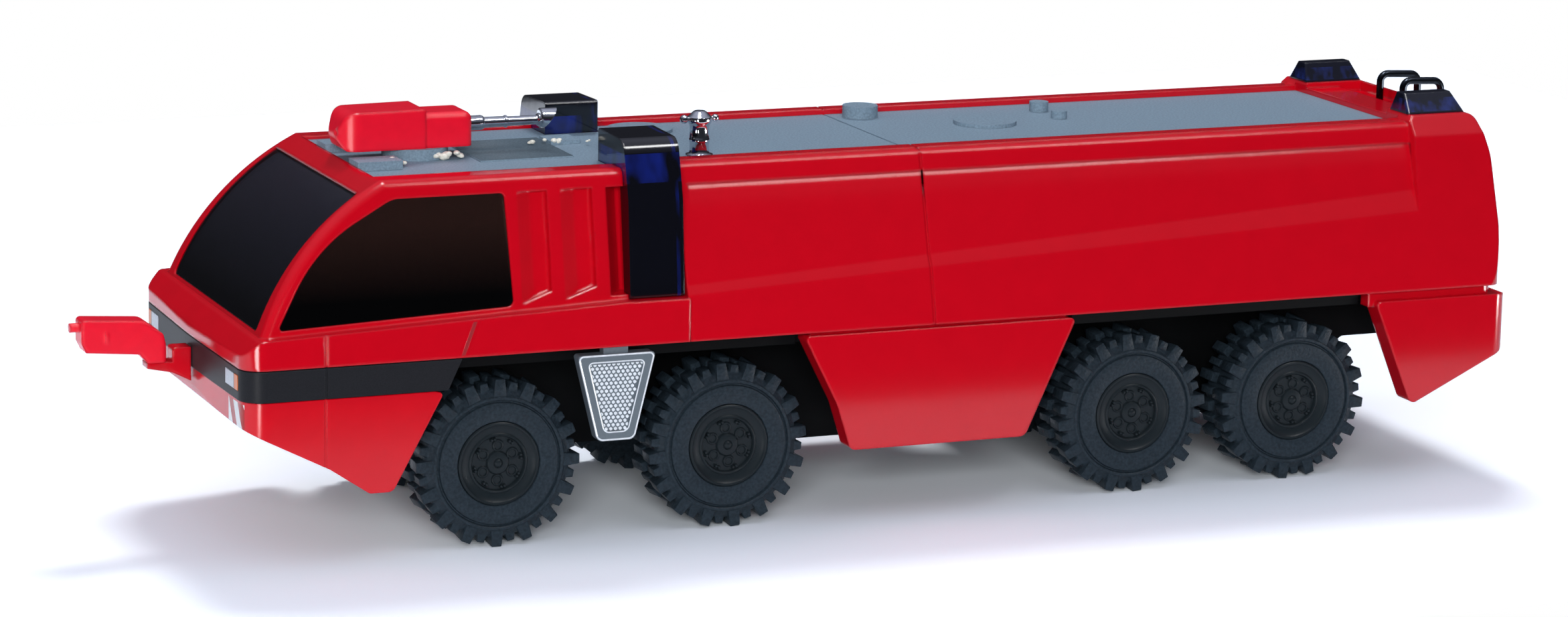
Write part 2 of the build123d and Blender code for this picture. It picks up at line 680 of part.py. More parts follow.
def tank_blank(inset):
    """Whole tank body without its recesses, set in from the outer skin."""
    front = SEAM_X - SEAM_GAP / 2 - inset
    rear = TAIL_X + inset
    step_x = LAMP_PLATFORM_X[0] + 0.3
    profile = [
        (front, BODY_Z - 1, 0),
        (front, RIM_Z - inset, 0.4),
        (step_x, RIM_Z - inset, 0),
        (step_x - 0.4, PLATFORM_Z - inset, 0),
        (rear + 1.75, PLATFORM_Z - inset, 1.1),
        (rear + 0.5, BODY_Z + 0.8 * ROOF_H, 7),
        (rear, BODY_Z + 0.36 * ROOF_H, 16),
        (rear, BODY_Z - 1, 0),
    ]
    half = HALF_W - inset
    plan = [(front + 1, half, 0), (rear, half, 1.5), (rear, -half, 1.5), (front + 1, -half, 0)]
    body = side_prism(profile, -OUTSIDE, OUTSIDE)
    body = body & section_prism(mirrored(tank_section(inset, False)), rear - 1, front + 1)
    return body & plan_prism(plan, BODY_Z, ABOVE)


def recess_z(x):
    """Height of the bevel's lower edge on the side of the tank body."""
    share = (SEAM_X - x) / (SEAM_X - LAMP_PLATFORM_X[0])
    return BODY_Z + FIELD_FRONT_H + share * (FIELD_REAR_H - FIELD_FRONT_H)


def tank_recess(side):
    """Cutter of the sunk field, open at the front, whose slanted floor leaves the bevel."""
    front, rear = SEAM_X + 1, LAMP_PLATFORM_X[0] + 0.3
    inner = TANK_DECK_HALF + 1.5
    lift = {x: recess_z(x) + BEVEL_SLOPE * (side_y(recess_z(x), False) - inner) for x in (front, rear)}
    top = ABOVE + 30
    rows = [(rear, lift[rear], 0), (front, lift[front], 0), (front, top, 0), (rear, top, 0)]
    face = Plane(origin=(0, inner, 0), x_dir=(1, 0, 0), z_dir=(0, -1, 0)) * outline(rows)
    reach = HALF_W + 1 - inner
    field = extrude(face, amount=reach * hypot(1, BEVEL_SLOPE), dir=(0, 1, -BEVEL_SLOPE))
    keep = [(0, BODY_Z - 1, 0), *tank_section(0, True), (0, RIM_Z + 0.05, 0)]
    return flip(field - section_prism(keep, rear - 1, front + 1), side)


def tank_groove(side):
    """Cutter of the panel joint that runs up the side and over the roof edge."""
    bevel_z = recess_z(TANK_GROOVE_X)
    shoulder_z = RIM_Z - SHOULDER_FIELD
    bevel_top = bevel_z + 0.9
    rows = [
        (HALF_W - GROOVE_DEPTH, BODY_Z - 1, 0),
        (HALF_W - GROOVE_DEPTH, BODY_Z, 0),
        (side_y(bevel_z, False) - GROOVE_DEPTH, bevel_z, 0),
        (side_y(bevel_top, True) - GROOVE_DEPTH, bevel_top, 0),
        (side_y(shoulder_z, True) - GROOVE_DEPTH, shoulder_z, 0),
        (TANK_DECK_HALF + 0.6, RIM_Z - GROOVE_DEPTH, 0),
        (TANK_DECK_HALF - 1, RIM_Z - GROOVE_DEPTH, 0),
        (TANK_DECK_HALF - 1, ABOVE, 0),
        (OUTSIDE, ABOVE, 0),
        (OUTSIDE, BODY_Z - 1, 0),
    ]
    return flip(section_prism(rows, TANK_GROOVE_X - GROOVE_W / 2, TANK_GROOVE_X + GROOVE_W / 2), side)


def tank_body():
    """Hollow red tank body with its sunk fields, deck seat, rear platforms and trough."""
    ceiling = DECK_LOW_Z - WALL
    hollow = tank_blank(WALL) & box(TAIL_X - 1, SEAM_X + 1, -OUTSIDE, OUTSIDE, BODY_Z - 2, ceiling)
    body = tank_blank(0) - hollow
    deck_rear = LAMP_PLATFORM_X[0] + 0.1
    body = body - box(deck_rear, SEAM_X + 1, -TANK_DECK_HALF, TANK_DECK_HALF, DECK_LOW_Z, ABOVE)
    front, rear = TROUGH_X
    body = body - box(rear, deck_rear, -TROUGH_HALF, TROUGH_HALF, RIM_Z, ABOVE)
    body = body - box(rear, front, -TROUGH_HALF, TROUGH_HALF, TROUGH_Z, ABOVE)
    for _, side in SIDES:
        body = body - tank_recess(side) - tank_groove(side)
    return body


def tank_deck():
    """Grey deck insert with the raised covers of the tank roof."""
    half = TANK_DECK_HALF - FIT
    rear = LAMP_PLATFORM_X[0] + 0.1 + FIT
    deck = box(rear, SEAM_X - SEAM_GAP, -half, half, DECK_LOW_Z, DECK_Z)
    root = DECK_Z - DECK_T / 2
    covers = (
        # x, y as a share of the half width, radius, height
        (-11.4, -0.79, 1.75, 1.15),
        (-30.0, -0.61, 0.95, 0.95),
        (-30.05, -0.18, 0.80, 0.75),
        (-21.6, -0.10, 3.10, 0.35),
        (12.4, -0.65, 3.20, 0.30),
    )
    for x, share, radius, height in covers:
        deck = deck + disc(x, share * half, root, radius, height + DECK_Z - root)
    return deck - box(TANK_GROOVE_X - GROOVE_W / 2, TANK_GROOVE_X + GROOVE_W / 2, -half, half, DECK_Z - GROOVE_DEPTH, ABOVE)


def rear_beacon(side):
    """Tapered lamp on its corner platform, steep at the front and raked elsewhere."""
    faces = []
    for (front, rear), (inner, outer), z in (
        (LAMP_PLATFORM_X, LAMP_PLATFORM_Y, PLATFORM_Z),
        (LAMP_TOP_X, LAMP_TOP_Y, PLATFORM_Z + REAR_LAMP_H),
    ):
        rows = [(front, inner, 0.2), (front, outer, 0.2), (rear, outer, 0.2), (rear, inner, 0.2)]
        faces.append(Plane.XY.offset(z) * outline(rows))
    return flip(loft(faces), side)


def chrome_post():
    """Turned post with a cross arm and two balls, on the left edge of the tank deck."""
    rows = [
        # radius and level above the deck of the turned stem
        (0.0, 0.0), (POST_R, 0.0), (POST_R, 0.35), (0.98, 0.5), (0.98, 3.35),
        (1.2, 3.45), (1.2, 3.85), (0.6, 4.45), (0.0, 4.45),
    ]
    face = Plane.XZ * make_face(Polyline(*rows, close=True))
    post = revolve(face, Axis.Z)
    arm_z = 3.65
    for offset, knob in ((-1.55, 0.36), (1.55, 0.42)):
        post = post + box(0, offset, -0.2, 0.2, arm_z - 0.2, arm_z + 0.2) + disc(offset, 0, arm_z - knob, knob, 2 * knob)
    return Pos(POST_X, POST_Y, DECK_Z) * post


def rear_ladder():
    """Bent-wire ladder on the rear wall; its two rails arch over the roof edge."""
    arch_z = RIM_Z + LADDER_TOP_H
    foot_x = TAIL_X + 3.6
    ladder = None
    for _, side in SIDES:
        y = side * LADDER_HALF
        points = [
            (foot_x, y, TROUGH_Z),
            (foot_x, y, arch_z),
            (LADDER_X, y, arch_z - 0.2),
            (LADDER_X, y, LADDER_FOOT_Z),
            (TAIL_X, y, LADDER_FOOT_Z),
        ]
        rail = bent_wire(points, (0.9, 0.9, 0.6), LADDER_WIRE)
        ladder = rail if ladder is None else ladder + rail
    pitch = (RIM_Z - LADDER_FOOT_Z) / (LADDER_RUNGS + 1)
    for i in range(LADDER_RUNGS):
        z = LADDER_FOOT_Z + pitch * (i + 1)
        half = 0.7 * LADDER_WIRE
        ladder = ladder + box(LADDER_X - half, LADDER_X + half, -LADDER_HALF, LADDER_HALF, z - half, z + half)
    return ladder


# Lockers, rear skirt and steps

def side_locker(side):
    """Trapezoid locker under the tank, between the second and third axles."""
    rows = [
        (LOCKER_FRONT_X, SKIRT_TOP_Z, 0.4),
        (LOCKER_FRONT_X - 3.5, SKIRT_LOW_Z + 4.4, 4.0),
        (LOCKER_FRONT_X - 4.9, SKIRT_LOW_Z, 0.7),
        (LOCKER_REAR_X + 5.1, SKIRT_LOW_Z, 0.9),
        (LOCKER_REAR_X, SKIRT_TOP_Z, 0.4),
    ]
    locker = side_prism(rows, HALF_W - LOCKER_T, HALF_W)
    neck = box(LOCKER_REAR_X + 0.8, LOCKER_FRONT_X - 0.8, HALF_W - LOCKER_T, HALF_W - 0.7, SKIRT_TOP_Z - 1, BODY_Z)
    return flip(locker + neck, side)


def rear_bumper():
    """Wrap-round rear skirt with raked sides and a pointed lower edge."""
    rear = TAIL_X - REAR_SKIRT_OVERHANG
    rows = [
        (rear + REAR_SKIRT_L, SKIRT_TOP_Z - 0.6, 0.4),
        (rear + 10.6, SKIRT_LOW_Z, 0.7),
        (rear + 0.3, SKIRT_LOW_Z + 4.9, 0.7),
        (rear, SKIRT_TOP_Z - 3, 8),
        (rear, SKIRT_TOP_Z - 0.6, 0.5),
    ]
    plan = [(rear + 20, HALF_W, 0), (rear, HALF_W, 1.4), (rear, -HALF_W, 1.4), (rear + 20, -HALF_W, 0)]
    outer = side_prism(rows, -HALF_W, HALF_W) & plan_prism(plan, 0, BODY_Z)
    half = HALF_W - 0.8
    back, front = rear + 1.4, rear + 15.4
    neck_plan = [(front, half, 0), (back, half, 1.0), (back, -half, 1.0), (front, -half, 0)]
    neck = plan_prism(neck_plan, SKIRT_TOP_Z - 1.2, BODY_Z)
    inner = TYRE_FACE_Y + FIT
    return outer + neck - box(rear + 2.3, rear + 21, -inner, inner, 0, BODY_Z + 1)


def step(side):
    """Entry step between the first two axles, a tapered tread plate with a raised frame."""
    top_z = BODY_Z - 0.65
    sink = 0.2
    frame = 0.9
    outer_y = HALF_W - 0.05
    trapezoid = [
        (STEP_X + STEP_TOP_W / 2, top_z, 0.3),
        (STEP_X - STEP_TOP_W / 2, top_z, 0.3),
        (STEP_X - STEP_LOW_W / 2, STEP_LOW_Z, 0.6),
        (STEP_X + STEP_LOW_W / 2, STEP_LOW_Z, 0.6),
    ]
    field = [
        (STEP_X + STEP_TOP_W / 2 - 1.15, top_z - frame, 0.2),
        (STEP_X - STEP_TOP_W / 2 + 1.15, top_z - frame, 0.2),
        (STEP_X - STEP_LOW_W / 2 + 0.75, STEP_LOW_Z + frame, 0.2),
        (STEP_X + STEP_LOW_W / 2 - 0.75, STEP_LOW_Z + frame, 0.2),
    ]
    body = side_prism(trapezoid, outer_y - STEP_T, outer_y) - side_prism(field, outer_y - sink, OUTSIDE)
    tab = box(STEP_X - 1.2, STEP_X + 1.2, outer_y - STEP_T, outer_y - 0.3, top_z - 0.4, BODY_Z)
    return flip(body + tab, side)


# Chassis and wheels

def chassis():
    """Hollow pan with the axle bores, and the plates that close the bodies from below."""
    front, rear = PAN_FRONT_X, PAN_REAR_X
    keel = 1.3
    rows = [
        (front, PAN_TOP_Z, 0),
        (front, PAN_LOW_Z + 5.1, 0.5),
        (front - 8.8, PAN_LOW_Z + 1.5, 0.8),
        (front - 11.8, PAN_LOW_Z, 0.8),
        (LOCKER_FRONT_X + 1.6, PAN_LOW_Z, 0.6),
        (LOCKER_FRONT_X - 2.9, PAN_LOW_Z - keel, 0.6),
        (LOCKER_REAR_X + 3.2, PAN_LOW_Z - keel, 0.6),
        (LOCKER_REAR_X - 1.3, PAN_LOW_Z, 0.6),
        (rear + 13.5, PAN_LOW_Z, 1.0),
        (rear + 9.0, PAN_LOW_Z + 4.8, 0.8),
        (rear, PAN_LOW_Z + 4.8, 0),
        (rear, PAN_TOP_Z, 0),
    ]
    pan = side_prism(rows, -PAN_HALF, PAN_HALF)
    inner = PAN_HALF - PAN_WALL
    plate_z = PAN_TOP_Z - PLATE_T
    web = BOSS_R + PAN_WALL
    for i in range(len(AXLE_X) - 1):
        x1, x0 = AXLE_X[i] - web, AXLE_X[i + 1] + web
        pan = pan - box(x0, x1, -inner, inner, PAN_LOW_Z + PAN_WALL, plate_z)
    for x0, x1, inside in FLOOR_PLATES:
        half = HALF_W - inside
        pan = pan + box(x0, x1, -half, half, plate_z, BODY_Z)
    for x in AXLE_X:
        boss = rod((x, -PAN_HALF - BOSS_L, TYRE_R), (x, PAN_HALF + BOSS_L, TYRE_R), BOSS_R)
        pan = pan + boss - rod((x, -OUTSIDE, TYRE_R), (x, OUTSIDE, TYRE_R), AXLE_R + AXLE_BORE_GAP)
    return pan


def axle(x):
    """Steel pin through both rims and the chassis."""
    reach = TYRE_FACE_Y - 1.6
    return rod((x, -reach, TYRE_R), (x, reach, TYRE_R), AXLE_R)


def rim(x, side):
    """Dished wheel with a stepped hub and its round hand holes."""
    face_y = TYRE_FACE_Y - 0.85
    rows = [
        # radius, y from the wheel's inner edge outwards
        (AXLE_R, TYRE_BACK_Y + 0.3),
        (RIM_R, TYRE_BACK_Y + 0.3),
        (RIM_R, TYRE_FACE_Y - 0.08),
        (2.7, face_y),
        (0.95, face_y),
        (0.85, face_y + 0.4),
        (0.0, face_y + 0.4),
        (0.0, TYRE_FACE_Y - 1.6),
        (AXLE_R, TYRE_FACE_Y - 1.6),
    ]
    wheel = revolve(Plane.XY * make_face(Polyline(*rows, close=True)), Axis.Y)
    hole = Plane.XZ.offset(0.3 - face_y) * RegularPolygon(0.4, 6)
    hole = Pos(0, 0, 1.62) * extrude(hole, amount=-2)
    for i in range(HUB_HOLES):
        wheel = wheel - Rot(0, 360 * i / HUB_HOLES, 0) * hole
    return Pos(x, 0, TYRE_R) * flip(wheel, side)


def tyre(x, side):
    """Tyre with a ring of flat-topped lugs, long and short in turn, and a coned outer wall."""
    pitch = 2 * pi / LUGS
    root = TYRE_R - TREAD_H
    points = []
    for i in range(LUGS):
        foot = 0.42 if i % 2 == 0 else 0.3
        for turn, radius in ((-foot, root), (-0.8 * foot, TYRE_R), (0.8 * foot, TYRE_R), (foot, root)):
            angle = (i + turn) * pitch
            points.append((radius * sin(angle), radius * cos(angle)))
    bevel = 0.75
    ring = make_face(Polyline(*points, close=True)) - Circle(RIM_R)
    tread = extrude(Plane.XZ.offset(bevel - TYRE_FACE_Y) * ring, amount=TYRE_W - bevel)
    walls = [
        # radius, y
        (RIM_R, TYRE_BACK_Y),
        (root - 0.2, TYRE_BACK_Y),
        (root - 0.2, TYRE_FACE_Y - bevel),
        (TYRE_RIDGE_R, TYRE_FACE_Y),
        (RIM_R, TYRE_FACE_Y - 0.15),
    ]
    body = revolve(Plane.XY * make_face(Polyline(*walls, close=True)), Axis.Y)
    return Pos(x, 0, TYRE_R) * flip(body + tread, side)


# Roof monitor

def monitor_housing():
    """Red two-part housing that turns on the roof ring."""
    floor = MONITOR_FLOOR_Z
    nose, tail = MONITOR_FRONT_X, MONITOR_REAR_X
    front_rows = [
        (MONITOR_X - 0.3, floor, 0),
        (nose - 0.75, floor, 0.6),
        (nose, floor + 1.35, 1.0),
        (nose - 0.85, floor + MONITOR_H - 0.1, 1.4),
        (MONITOR_X - 0.3, floor + MONITOR_H, 0.2),
    ]
    rear_top = floor + MONITOR_H - 0.45
    rear_rows = [
        (tail, floor, 0),
        (MONITOR_X - 0.1, floor, 0),
        (MONITOR_X - 0.1, rear_top, 0),
        (tail, rear_top, 0.8),
    ]
    half = MONITOR_HALF
    plan = [(tail - 1, -half, 0), (nose + 0.05, -half, 2.2), (nose + 0.05, half, 2.2), (tail - 1, half, 0)]
    body = side_prism(front_rows, -half, half) & plan_prism(plan, floor - 1, floor + MONITOR_H + 1)
    body = body + side_prism(rear_rows, 0.2 - half, half - 0.2)
    tops = body.edges().filter_by(Axis.X).filter_by(lambda e: e.center().Z > rear_top - 0.3)
    body = fillet(tops, 0.7)
    bore = disc(MONITOR_X, 0, floor - 1, PIVOT_R + PIVOT_GAP, PIVOT_H + 1.1)
    eye = rod((nose - 1, 0.9, floor + 1.65), (nose + 1, 1.1, floor + 1.65), 0.3)
    return body - bore - eye


def monitor_barrel():
    """Chromed stepped barrel with an oblique jet nozzle, pointing to the rear."""
    z = MONITOR_FLOOR_Z + 1.75
    rear = MONITOR_REAR_X
    rows = [
        # distance behind the housing, radius: the turned tube
        (0.0, 0.0), (0.0, 0.70), (1.7, 0.70), (1.75, 0.52), (4.0, 0.52), (4.05, 0.45), (7.4, 0.45), (7.4, 0.0),
    ]
    face = Plane.XZ * make_face(Polyline(*[(rear - back, z + r) for back, r in rows], close=True))
    tube = revolve(face, Axis((rear, 0, z), (1, 0, 0)))
    nozzle = rod((rear - 7.25, 0, z + 0.15), (rear - 10.85, 0, z + 0.15), 0.95)
    cut = [
        (rear - 7.4, z - 1.2, 0),
        (rear - 11.5, z - 1.2, 0),
        (rear - 11.5, z + 1.2, 0),
        (rear - 10.7, z + 1.2, 0),
    ]
    return tube + (nozzle - side_prism(cut, -2, 2))


# The pieces as they are written

def pieces():
    """Name and solid of every piece, drawn from the datum."""
    skin = pane_skin()
    yield "cab_shell", cab_shell()
    yield "windscreen", skin & screen_cutter(FIT)
    yield "bumper_band", bumper_band()
    yield "front_apron", front_apron()
    yield "cab_deck", cab_deck()
    yield "cab_interior", cab_interior()
    yield "tank_body", tank_body()
    yield "tank_deck", tank_deck()
    yield "chrome_post", chrome_post()
    yield "rear_ladder", rear_ladder()
    yield "rear_bumper", rear_bumper()
    yield "chassis", chassis()
    yield "roof_monitor_housing", monitor_housing()
    yield "roof_monitor_barrel", monitor_barrel()
    yield "bumper_bracket", bumper_bracket()
    yield "bumper_monitor", bumper_monitor()
    for name, side in SIDES:
        yield f"side_window_{name}", skin & side_window_cutter(side, FIT)
        yield f"front_lamp_{name}", front_lamp(side)
        yield f"front_beacon_{name}", flip(beacon_outer(), side)
        yield f"rear_beacon_{name}", rear_beacon(side)
        yield f"side_locker_{name}", side_locker(side)
        yield f"step_{name}", step(side)
    for number, x in enumerate(AXLE_X, 1):
        yield f"axle_{number}", axle(x)
        for name, side in SIDES:
            yield f"rim_{number}_{name}", rim(x, side)
            yield f"tyre_{number}_{name}", tyre(x, side)


os.makedirs("parts", exist_ok=True)
for node, shape in pieces():
    export_step(Pos(-MIDDLE_X, 0, 0) * shape, f"parts/{node}.step")
print(f"middle of the length at x = {MIDDLE_X:.3f} from the datum")
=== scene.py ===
"""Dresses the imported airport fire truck, a small plastic scale model, and sets up its studio."""

import json
import logging
import math
import random
from dataclasses import dataclass
from enum import Enum
from typing import Any, Iterable, Mapping, Sequence

import bmesh
import bpy
from mathutils import Matrix, Vector, noise


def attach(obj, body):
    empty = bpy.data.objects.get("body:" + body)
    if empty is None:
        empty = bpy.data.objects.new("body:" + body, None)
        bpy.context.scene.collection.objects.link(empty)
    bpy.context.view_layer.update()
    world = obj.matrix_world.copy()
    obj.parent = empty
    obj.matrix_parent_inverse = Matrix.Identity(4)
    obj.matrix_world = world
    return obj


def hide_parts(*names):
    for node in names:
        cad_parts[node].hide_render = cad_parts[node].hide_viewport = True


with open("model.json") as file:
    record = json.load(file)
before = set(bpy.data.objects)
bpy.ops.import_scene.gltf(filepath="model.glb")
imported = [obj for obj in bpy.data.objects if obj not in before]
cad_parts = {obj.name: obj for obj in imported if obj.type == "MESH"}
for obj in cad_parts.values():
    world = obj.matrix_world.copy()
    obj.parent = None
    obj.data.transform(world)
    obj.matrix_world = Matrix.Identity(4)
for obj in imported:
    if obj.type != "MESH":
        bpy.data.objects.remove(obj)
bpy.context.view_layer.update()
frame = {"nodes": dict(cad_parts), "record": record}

log = logging.getLogger("fire_truck")

Tree = bpy.types.NodeTree
Socket = bpy.types.NodeSocket
Material = bpy.types.Material
Shape = bmesh.types.BMesh

MM = 0.001
MERGE_MM = 0.0005       # points closer than this are one
SMOOTH_DEG = 38.0       # edges sharper than this stay sharp
DYED_IOR = 1.55         # polystyrene with pigment
CLEAR_IOR = 1.59        # clear polystyrene
BEVEL_SAMPLES = 4
NOISE_SPAN = (0.3, 0.7)     # nearly all noise values lie between these
WIRE_BEND_FACES = 8
NEARLY_PARALLEL = 0.1   # sine of the angle between two directions
OPEN_END = 100.0        # a height or distance that the part doesn't reach
SORT_ALONG = Vector((1.0, 0.618034, 0.381966))      # no two faces lie level along it


class Side(Enum):
    """Side of the vehicle, with the sign of its Y."""

    LEFT = 1
    RIGHT = -1

    @property
    def label(self) -> str:
        """Side as the node names spell it."""
        return self.name.lower()


def linear(hex_colour: str) -> tuple[float, float, float, float]:
    """Turn an sRGB hex colour into the linear values that shader sockets take.

    Args:
        hex_colour: Six hex digits with a leading hash sign.

    Returns:
        Linear red, green and blue, and a full alpha.
    """
    channels = [int(hex_colour[i:i + 2], 16) / 255 for i in (1, 3, 5)]
    red, green, blue = (
        c / 12.92 if c <= 0.04045 else ((c + 0.055) / 1.055) ** 2.4 for c in channels
    )
    return red, green, blue, 1.0


# Nodes and materials

def add_node(
    tree: Tree,
    kind: str,
    inputs: Mapping[str | int, Any] | None = None,
    **settings: Any,
) -> bpy.types.Node:
    """Add a shader node with its settings, its input values and its links.

    Args:
        tree: Node tree that gets the node.
        kind: Blender's name of the node type, without the ShaderNode that it starts with.
        inputs: Input sockets by name or number, each with a value or the socket that feeds it.
        **settings: Properties of the node itself.

    Returns:
        The new node.
    """
    node = tree.nodes.new(f"ShaderNode{kind}")
    for key, value in settings.items():
        setattr(node, key, value)
    for socket, value in (inputs or {}).items():
        if isinstance(value, Socket):
            tree.links.new(value, node.inputs[socket])
        else:
            node.inputs[socket].default_value = value
    return node


def new_material(name: str) -> tuple[Material, Tree]:
    """Make an empty node material and return it with its tree.

    Args:
        name: Name of the material.

    Returns:
        The material and its tree.
    """
    material = bpy.data.materials.new(name)
    material.use_nodes = True
    material.node_tree.nodes.clear()
    return material, material.node_tree


def close_material(tree: Tree, inputs: Mapping[str | int, Any]) -> None:
    """Add the principled shader with these inputs and the output node."""
    shader = add_node(tree, "BsdfPrincipled", inputs)
    add_node(tree, "OutputMaterial", {"Surface": shader.outputs["BSDF"]})


def grain_of(tree: Tree, size_mm: float, detail: float = 3.0) -> Socket:
    """Noise of a real size on Object coordinates, as a factor socket.

    Args:
        tree: Node tree of the material.
        size_mm: Size of the noise in millimetres.
        detail: Number of finer layers in the noise.

    Returns:
        The factor socket.
    """
    place = add_node(tree, "TexCoord")
    noise_node = add_node(
        tree, "TexNoise",
        {"Vector": place.outputs["Object"], "Scale": 1 / (size_mm * MM), "Detail": detail},
    )
    return noise_node.outputs["Fac"]


def soft_relief(tree: Tree, height: Socket, depth_mm: float, edge_mm: float) -> Socket:
    """Normal of a moulded surface: rounded edges under a shallow relief.

    Args:
        tree: Node tree of the material.
        height: Relief as a factor.
        depth_mm: Depth of the relief.
        edge_mm: Radius that the tool leaves along every edge.

    Returns:
        The normal socket.
    """
    edge = add_node(tree, "Bevel", {"Radius": edge_mm * MM}, samples=BEVEL_SAMPLES)
    bump = add_node(
        tree, "Bump",
        {"Height": height, "Distance": depth_mm * MM, "Normal": edge.outputs["Normal"]},
    )
    return bump.outputs["Normal"]


def varied(tree: Tree, colour: str, factor: Socket, swing: float) -> Socket:
    """Colour whose lightness swings a little with a factor.

    Args:
        tree: Node tree of the material.
        colour: Middle colour, as sRGB hex.
        factor: Noise that swings it.
        swing: Change of the lightness to each side.

    Returns:
        The colour socket.
    """
    value = add_node(tree, "MapRange", {
        "Value": factor, "From Min": NOISE_SPAN[0], "From Max": NOISE_SPAN[1],
        "To Min": 1 - swing, "To Max": 1 + swing,
    })
    shade = add_node(
        tree, "HueSaturation", {"Color": linear(colour), "Value": value.outputs["Result"]},
    )
    return shade.outputs["Color"]


def object_axes(tree: Tree) -> tuple[Socket, ...]:
    """X, distance from the middle plane, and Z of the Object coordinates, in metres.

    Args:
        tree: Node tree of the material.

    Returns:
        The three sockets.
    """
    place = add_node(tree, "TexCoord")
    axes = add_node(tree, "SeparateXYZ", {0: place.outputs["Object"]})
    across = add_node(tree, "Math", {0: axes.outputs["Y"]}, operation="ABSOLUTE")
    return axes.outputs["X"], across.outputs[0], axes.outputs["Z"]


def within(tree: Tree, axis: Socket, low: float, high: float = OPEN_END) -> Socket:
    """Mask that is 1 where a coordinate in metres lies between two values in millimetres.

    Args:
        tree: Node tree of the material.
        axis: Coordinate in metres.
        low: Lower limit in millimetres.
        high: Upper limit in millimetres.

    Returns:
        The mask socket.
    """
    middle, half = (low + high) / 2 * MM, (high - low) / 2 * MM
    mask = add_node(tree, "Math", {0: axis, 1: middle, 2: half}, operation="COMPARE")
    return mask.outputs[0]


def across_line(
    tree: Tree,
    axis: Socket,
    height: Socket,
    slope: float,
    start: float,
) -> Socket:
    """Place along an axis, counted from a slanting line.

    Args:
        tree: Node tree of the material.
        axis: Coordinate along the axis, in metres.
        height: Height, in metres.
        slope: How much each unit of height adds to the place.
        start: Place at which the count is zero at no height, in millimetres.

    Returns:
        The place in metres.
    """
    slant = add_node(tree, "Math", {0: height, 1: slope, 2: axis}, operation="MULTIPLY_ADD")
    counted = add_node(tree, "Math", {0: slant.outputs[0], 1: start * MM}, operation="SUBTRACT")
    return counted.outputs[0]


def product(tree: Tree, masks: Sequence[Socket]) -> Socket:
    """Product of masks.

    Args:
        tree: Node tree of the material.
        masks: Sockets of the masks.

    Returns:
        The mask socket.
    """
    result = masks[0]
    for mask in masks[1:]:
        node = add_node(tree, "Math", {0: result, 1: mask}, operation="MULTIPLY")
        result = node.outputs[0]
    return result


def blended(tree: Tree, mask: Socket, under: Any, over: Any) -> Socket:
    """Colour that is the second one where the mask is 1."""
    mix = add_node(tree, "Mix", {0: mask, 6: under, 7: over}, data_type="RGBA")
    return mix.outputs[2]


@dataclass(frozen=True)
class MouldedPlastic:
    """Moulded plastic, print or glue: one dyed colour all through, under a fine surface texture.

    Attributes:
        name: Name of the material.
        colour: Colour of the granulate, as sRGB hex.
        roughness: Microscopic roughness of the mould's surface.
        grain_mm: Size of the texture that the mould leaves.
        relief_mm: Depth of that texture.
        swing: Strength of the slight lightness variation.
        edge_mm: Radius of the edges.
        gloss: Specular level of the shader.
    """

    name: str
    colour: str
    roughness: float
    grain_mm: float
    relief_mm: float
    swing: float = 0.04
    edge_mm: float = 0.12
    gloss: float = 0.5

    def surface(self, tree: Tree) -> dict[str, Any]:
        """Inputs of the principled shader.

        Args:
            tree: Node tree of the material.

        Returns:
            Inputs by name.
        """
        grain = grain_of(tree, self.grain_mm)
        return {
            "Base Color": varied(tree, self.colour, grain, self.swing),
            "Roughness": self.roughness,
            "IOR": DYED_IOR,
            "Specular IOR Level": self.gloss,
            "Normal": soft_relief(tree, grain, self.relief_mm, self.edge_mm),
        }

    def build(self) -> Material:
        """Build the node material.

        Returns:
            The material.
        """
        material, tree = new_material(self.name)
        close_material(tree, self.surface(tree))
        return material


@dataclass(frozen=True)
class GroovedPlastic:
    """Moulded plastic whose sides carry one slanting panel groove, pressed by the mould.

    Attributes:
        plain: The plastic round the groove.
        name: Name of the material.
        foot: X and Z of the groove's lower end, in millimetres.
        head: X and Z of its upper end.
        side_y: The groove lies outside this distance from the middle.
        half_mm: Half of its width.
        depth_mm: Its depth.
    """

    plain: MouldedPlastic
    name: str = "glossy_red_polystyrene_with_panel_groove"
    foot: tuple[float, float] = (38.65, 18.85)
    head: tuple[float, float] = (37.5, 21.9)
    side_y: float = 16.9
    half_mm: float = 0.36
    depth_mm: float = 0.3

    def build(self) -> Material:
        """Build the node material.

        Returns:
            The material.
        """
        material, tree = new_material(self.name)
        x, across, z = object_axes(tree)
        (foot_x, foot_z), (head_x, head_z) = self.foot, self.head
        lean = (head_x - foot_x) / (head_z - foot_z)
        off = across_line(tree, x, z, -lean, foot_x - lean * foot_z)
        away = add_node(tree, "Math", {0: off}, operation="ABSOLUTE")
        valley = add_node(tree, "MapRange", {
            "Value": away.outputs[0], "From Min": 0.0, "From Max": self.half_mm * MM,
            "To Min": 1.0, "To Max": 0.0,
        })
        depth = product(tree, (
            valley.outputs["Result"],
            within(tree, z, foot_z, head_z),
            within(tree, across, self.side_y),
        ))
        inputs = self.plain.surface(tree)
        groove = add_node(tree, "Bump", {
            "Height": depth, "Distance": self.depth_mm * MM, "Normal": inputs["Normal"],
        }, invert=True)
        close_material(tree, {**inputs, "Normal": groove.outputs["Normal"]})
        return material


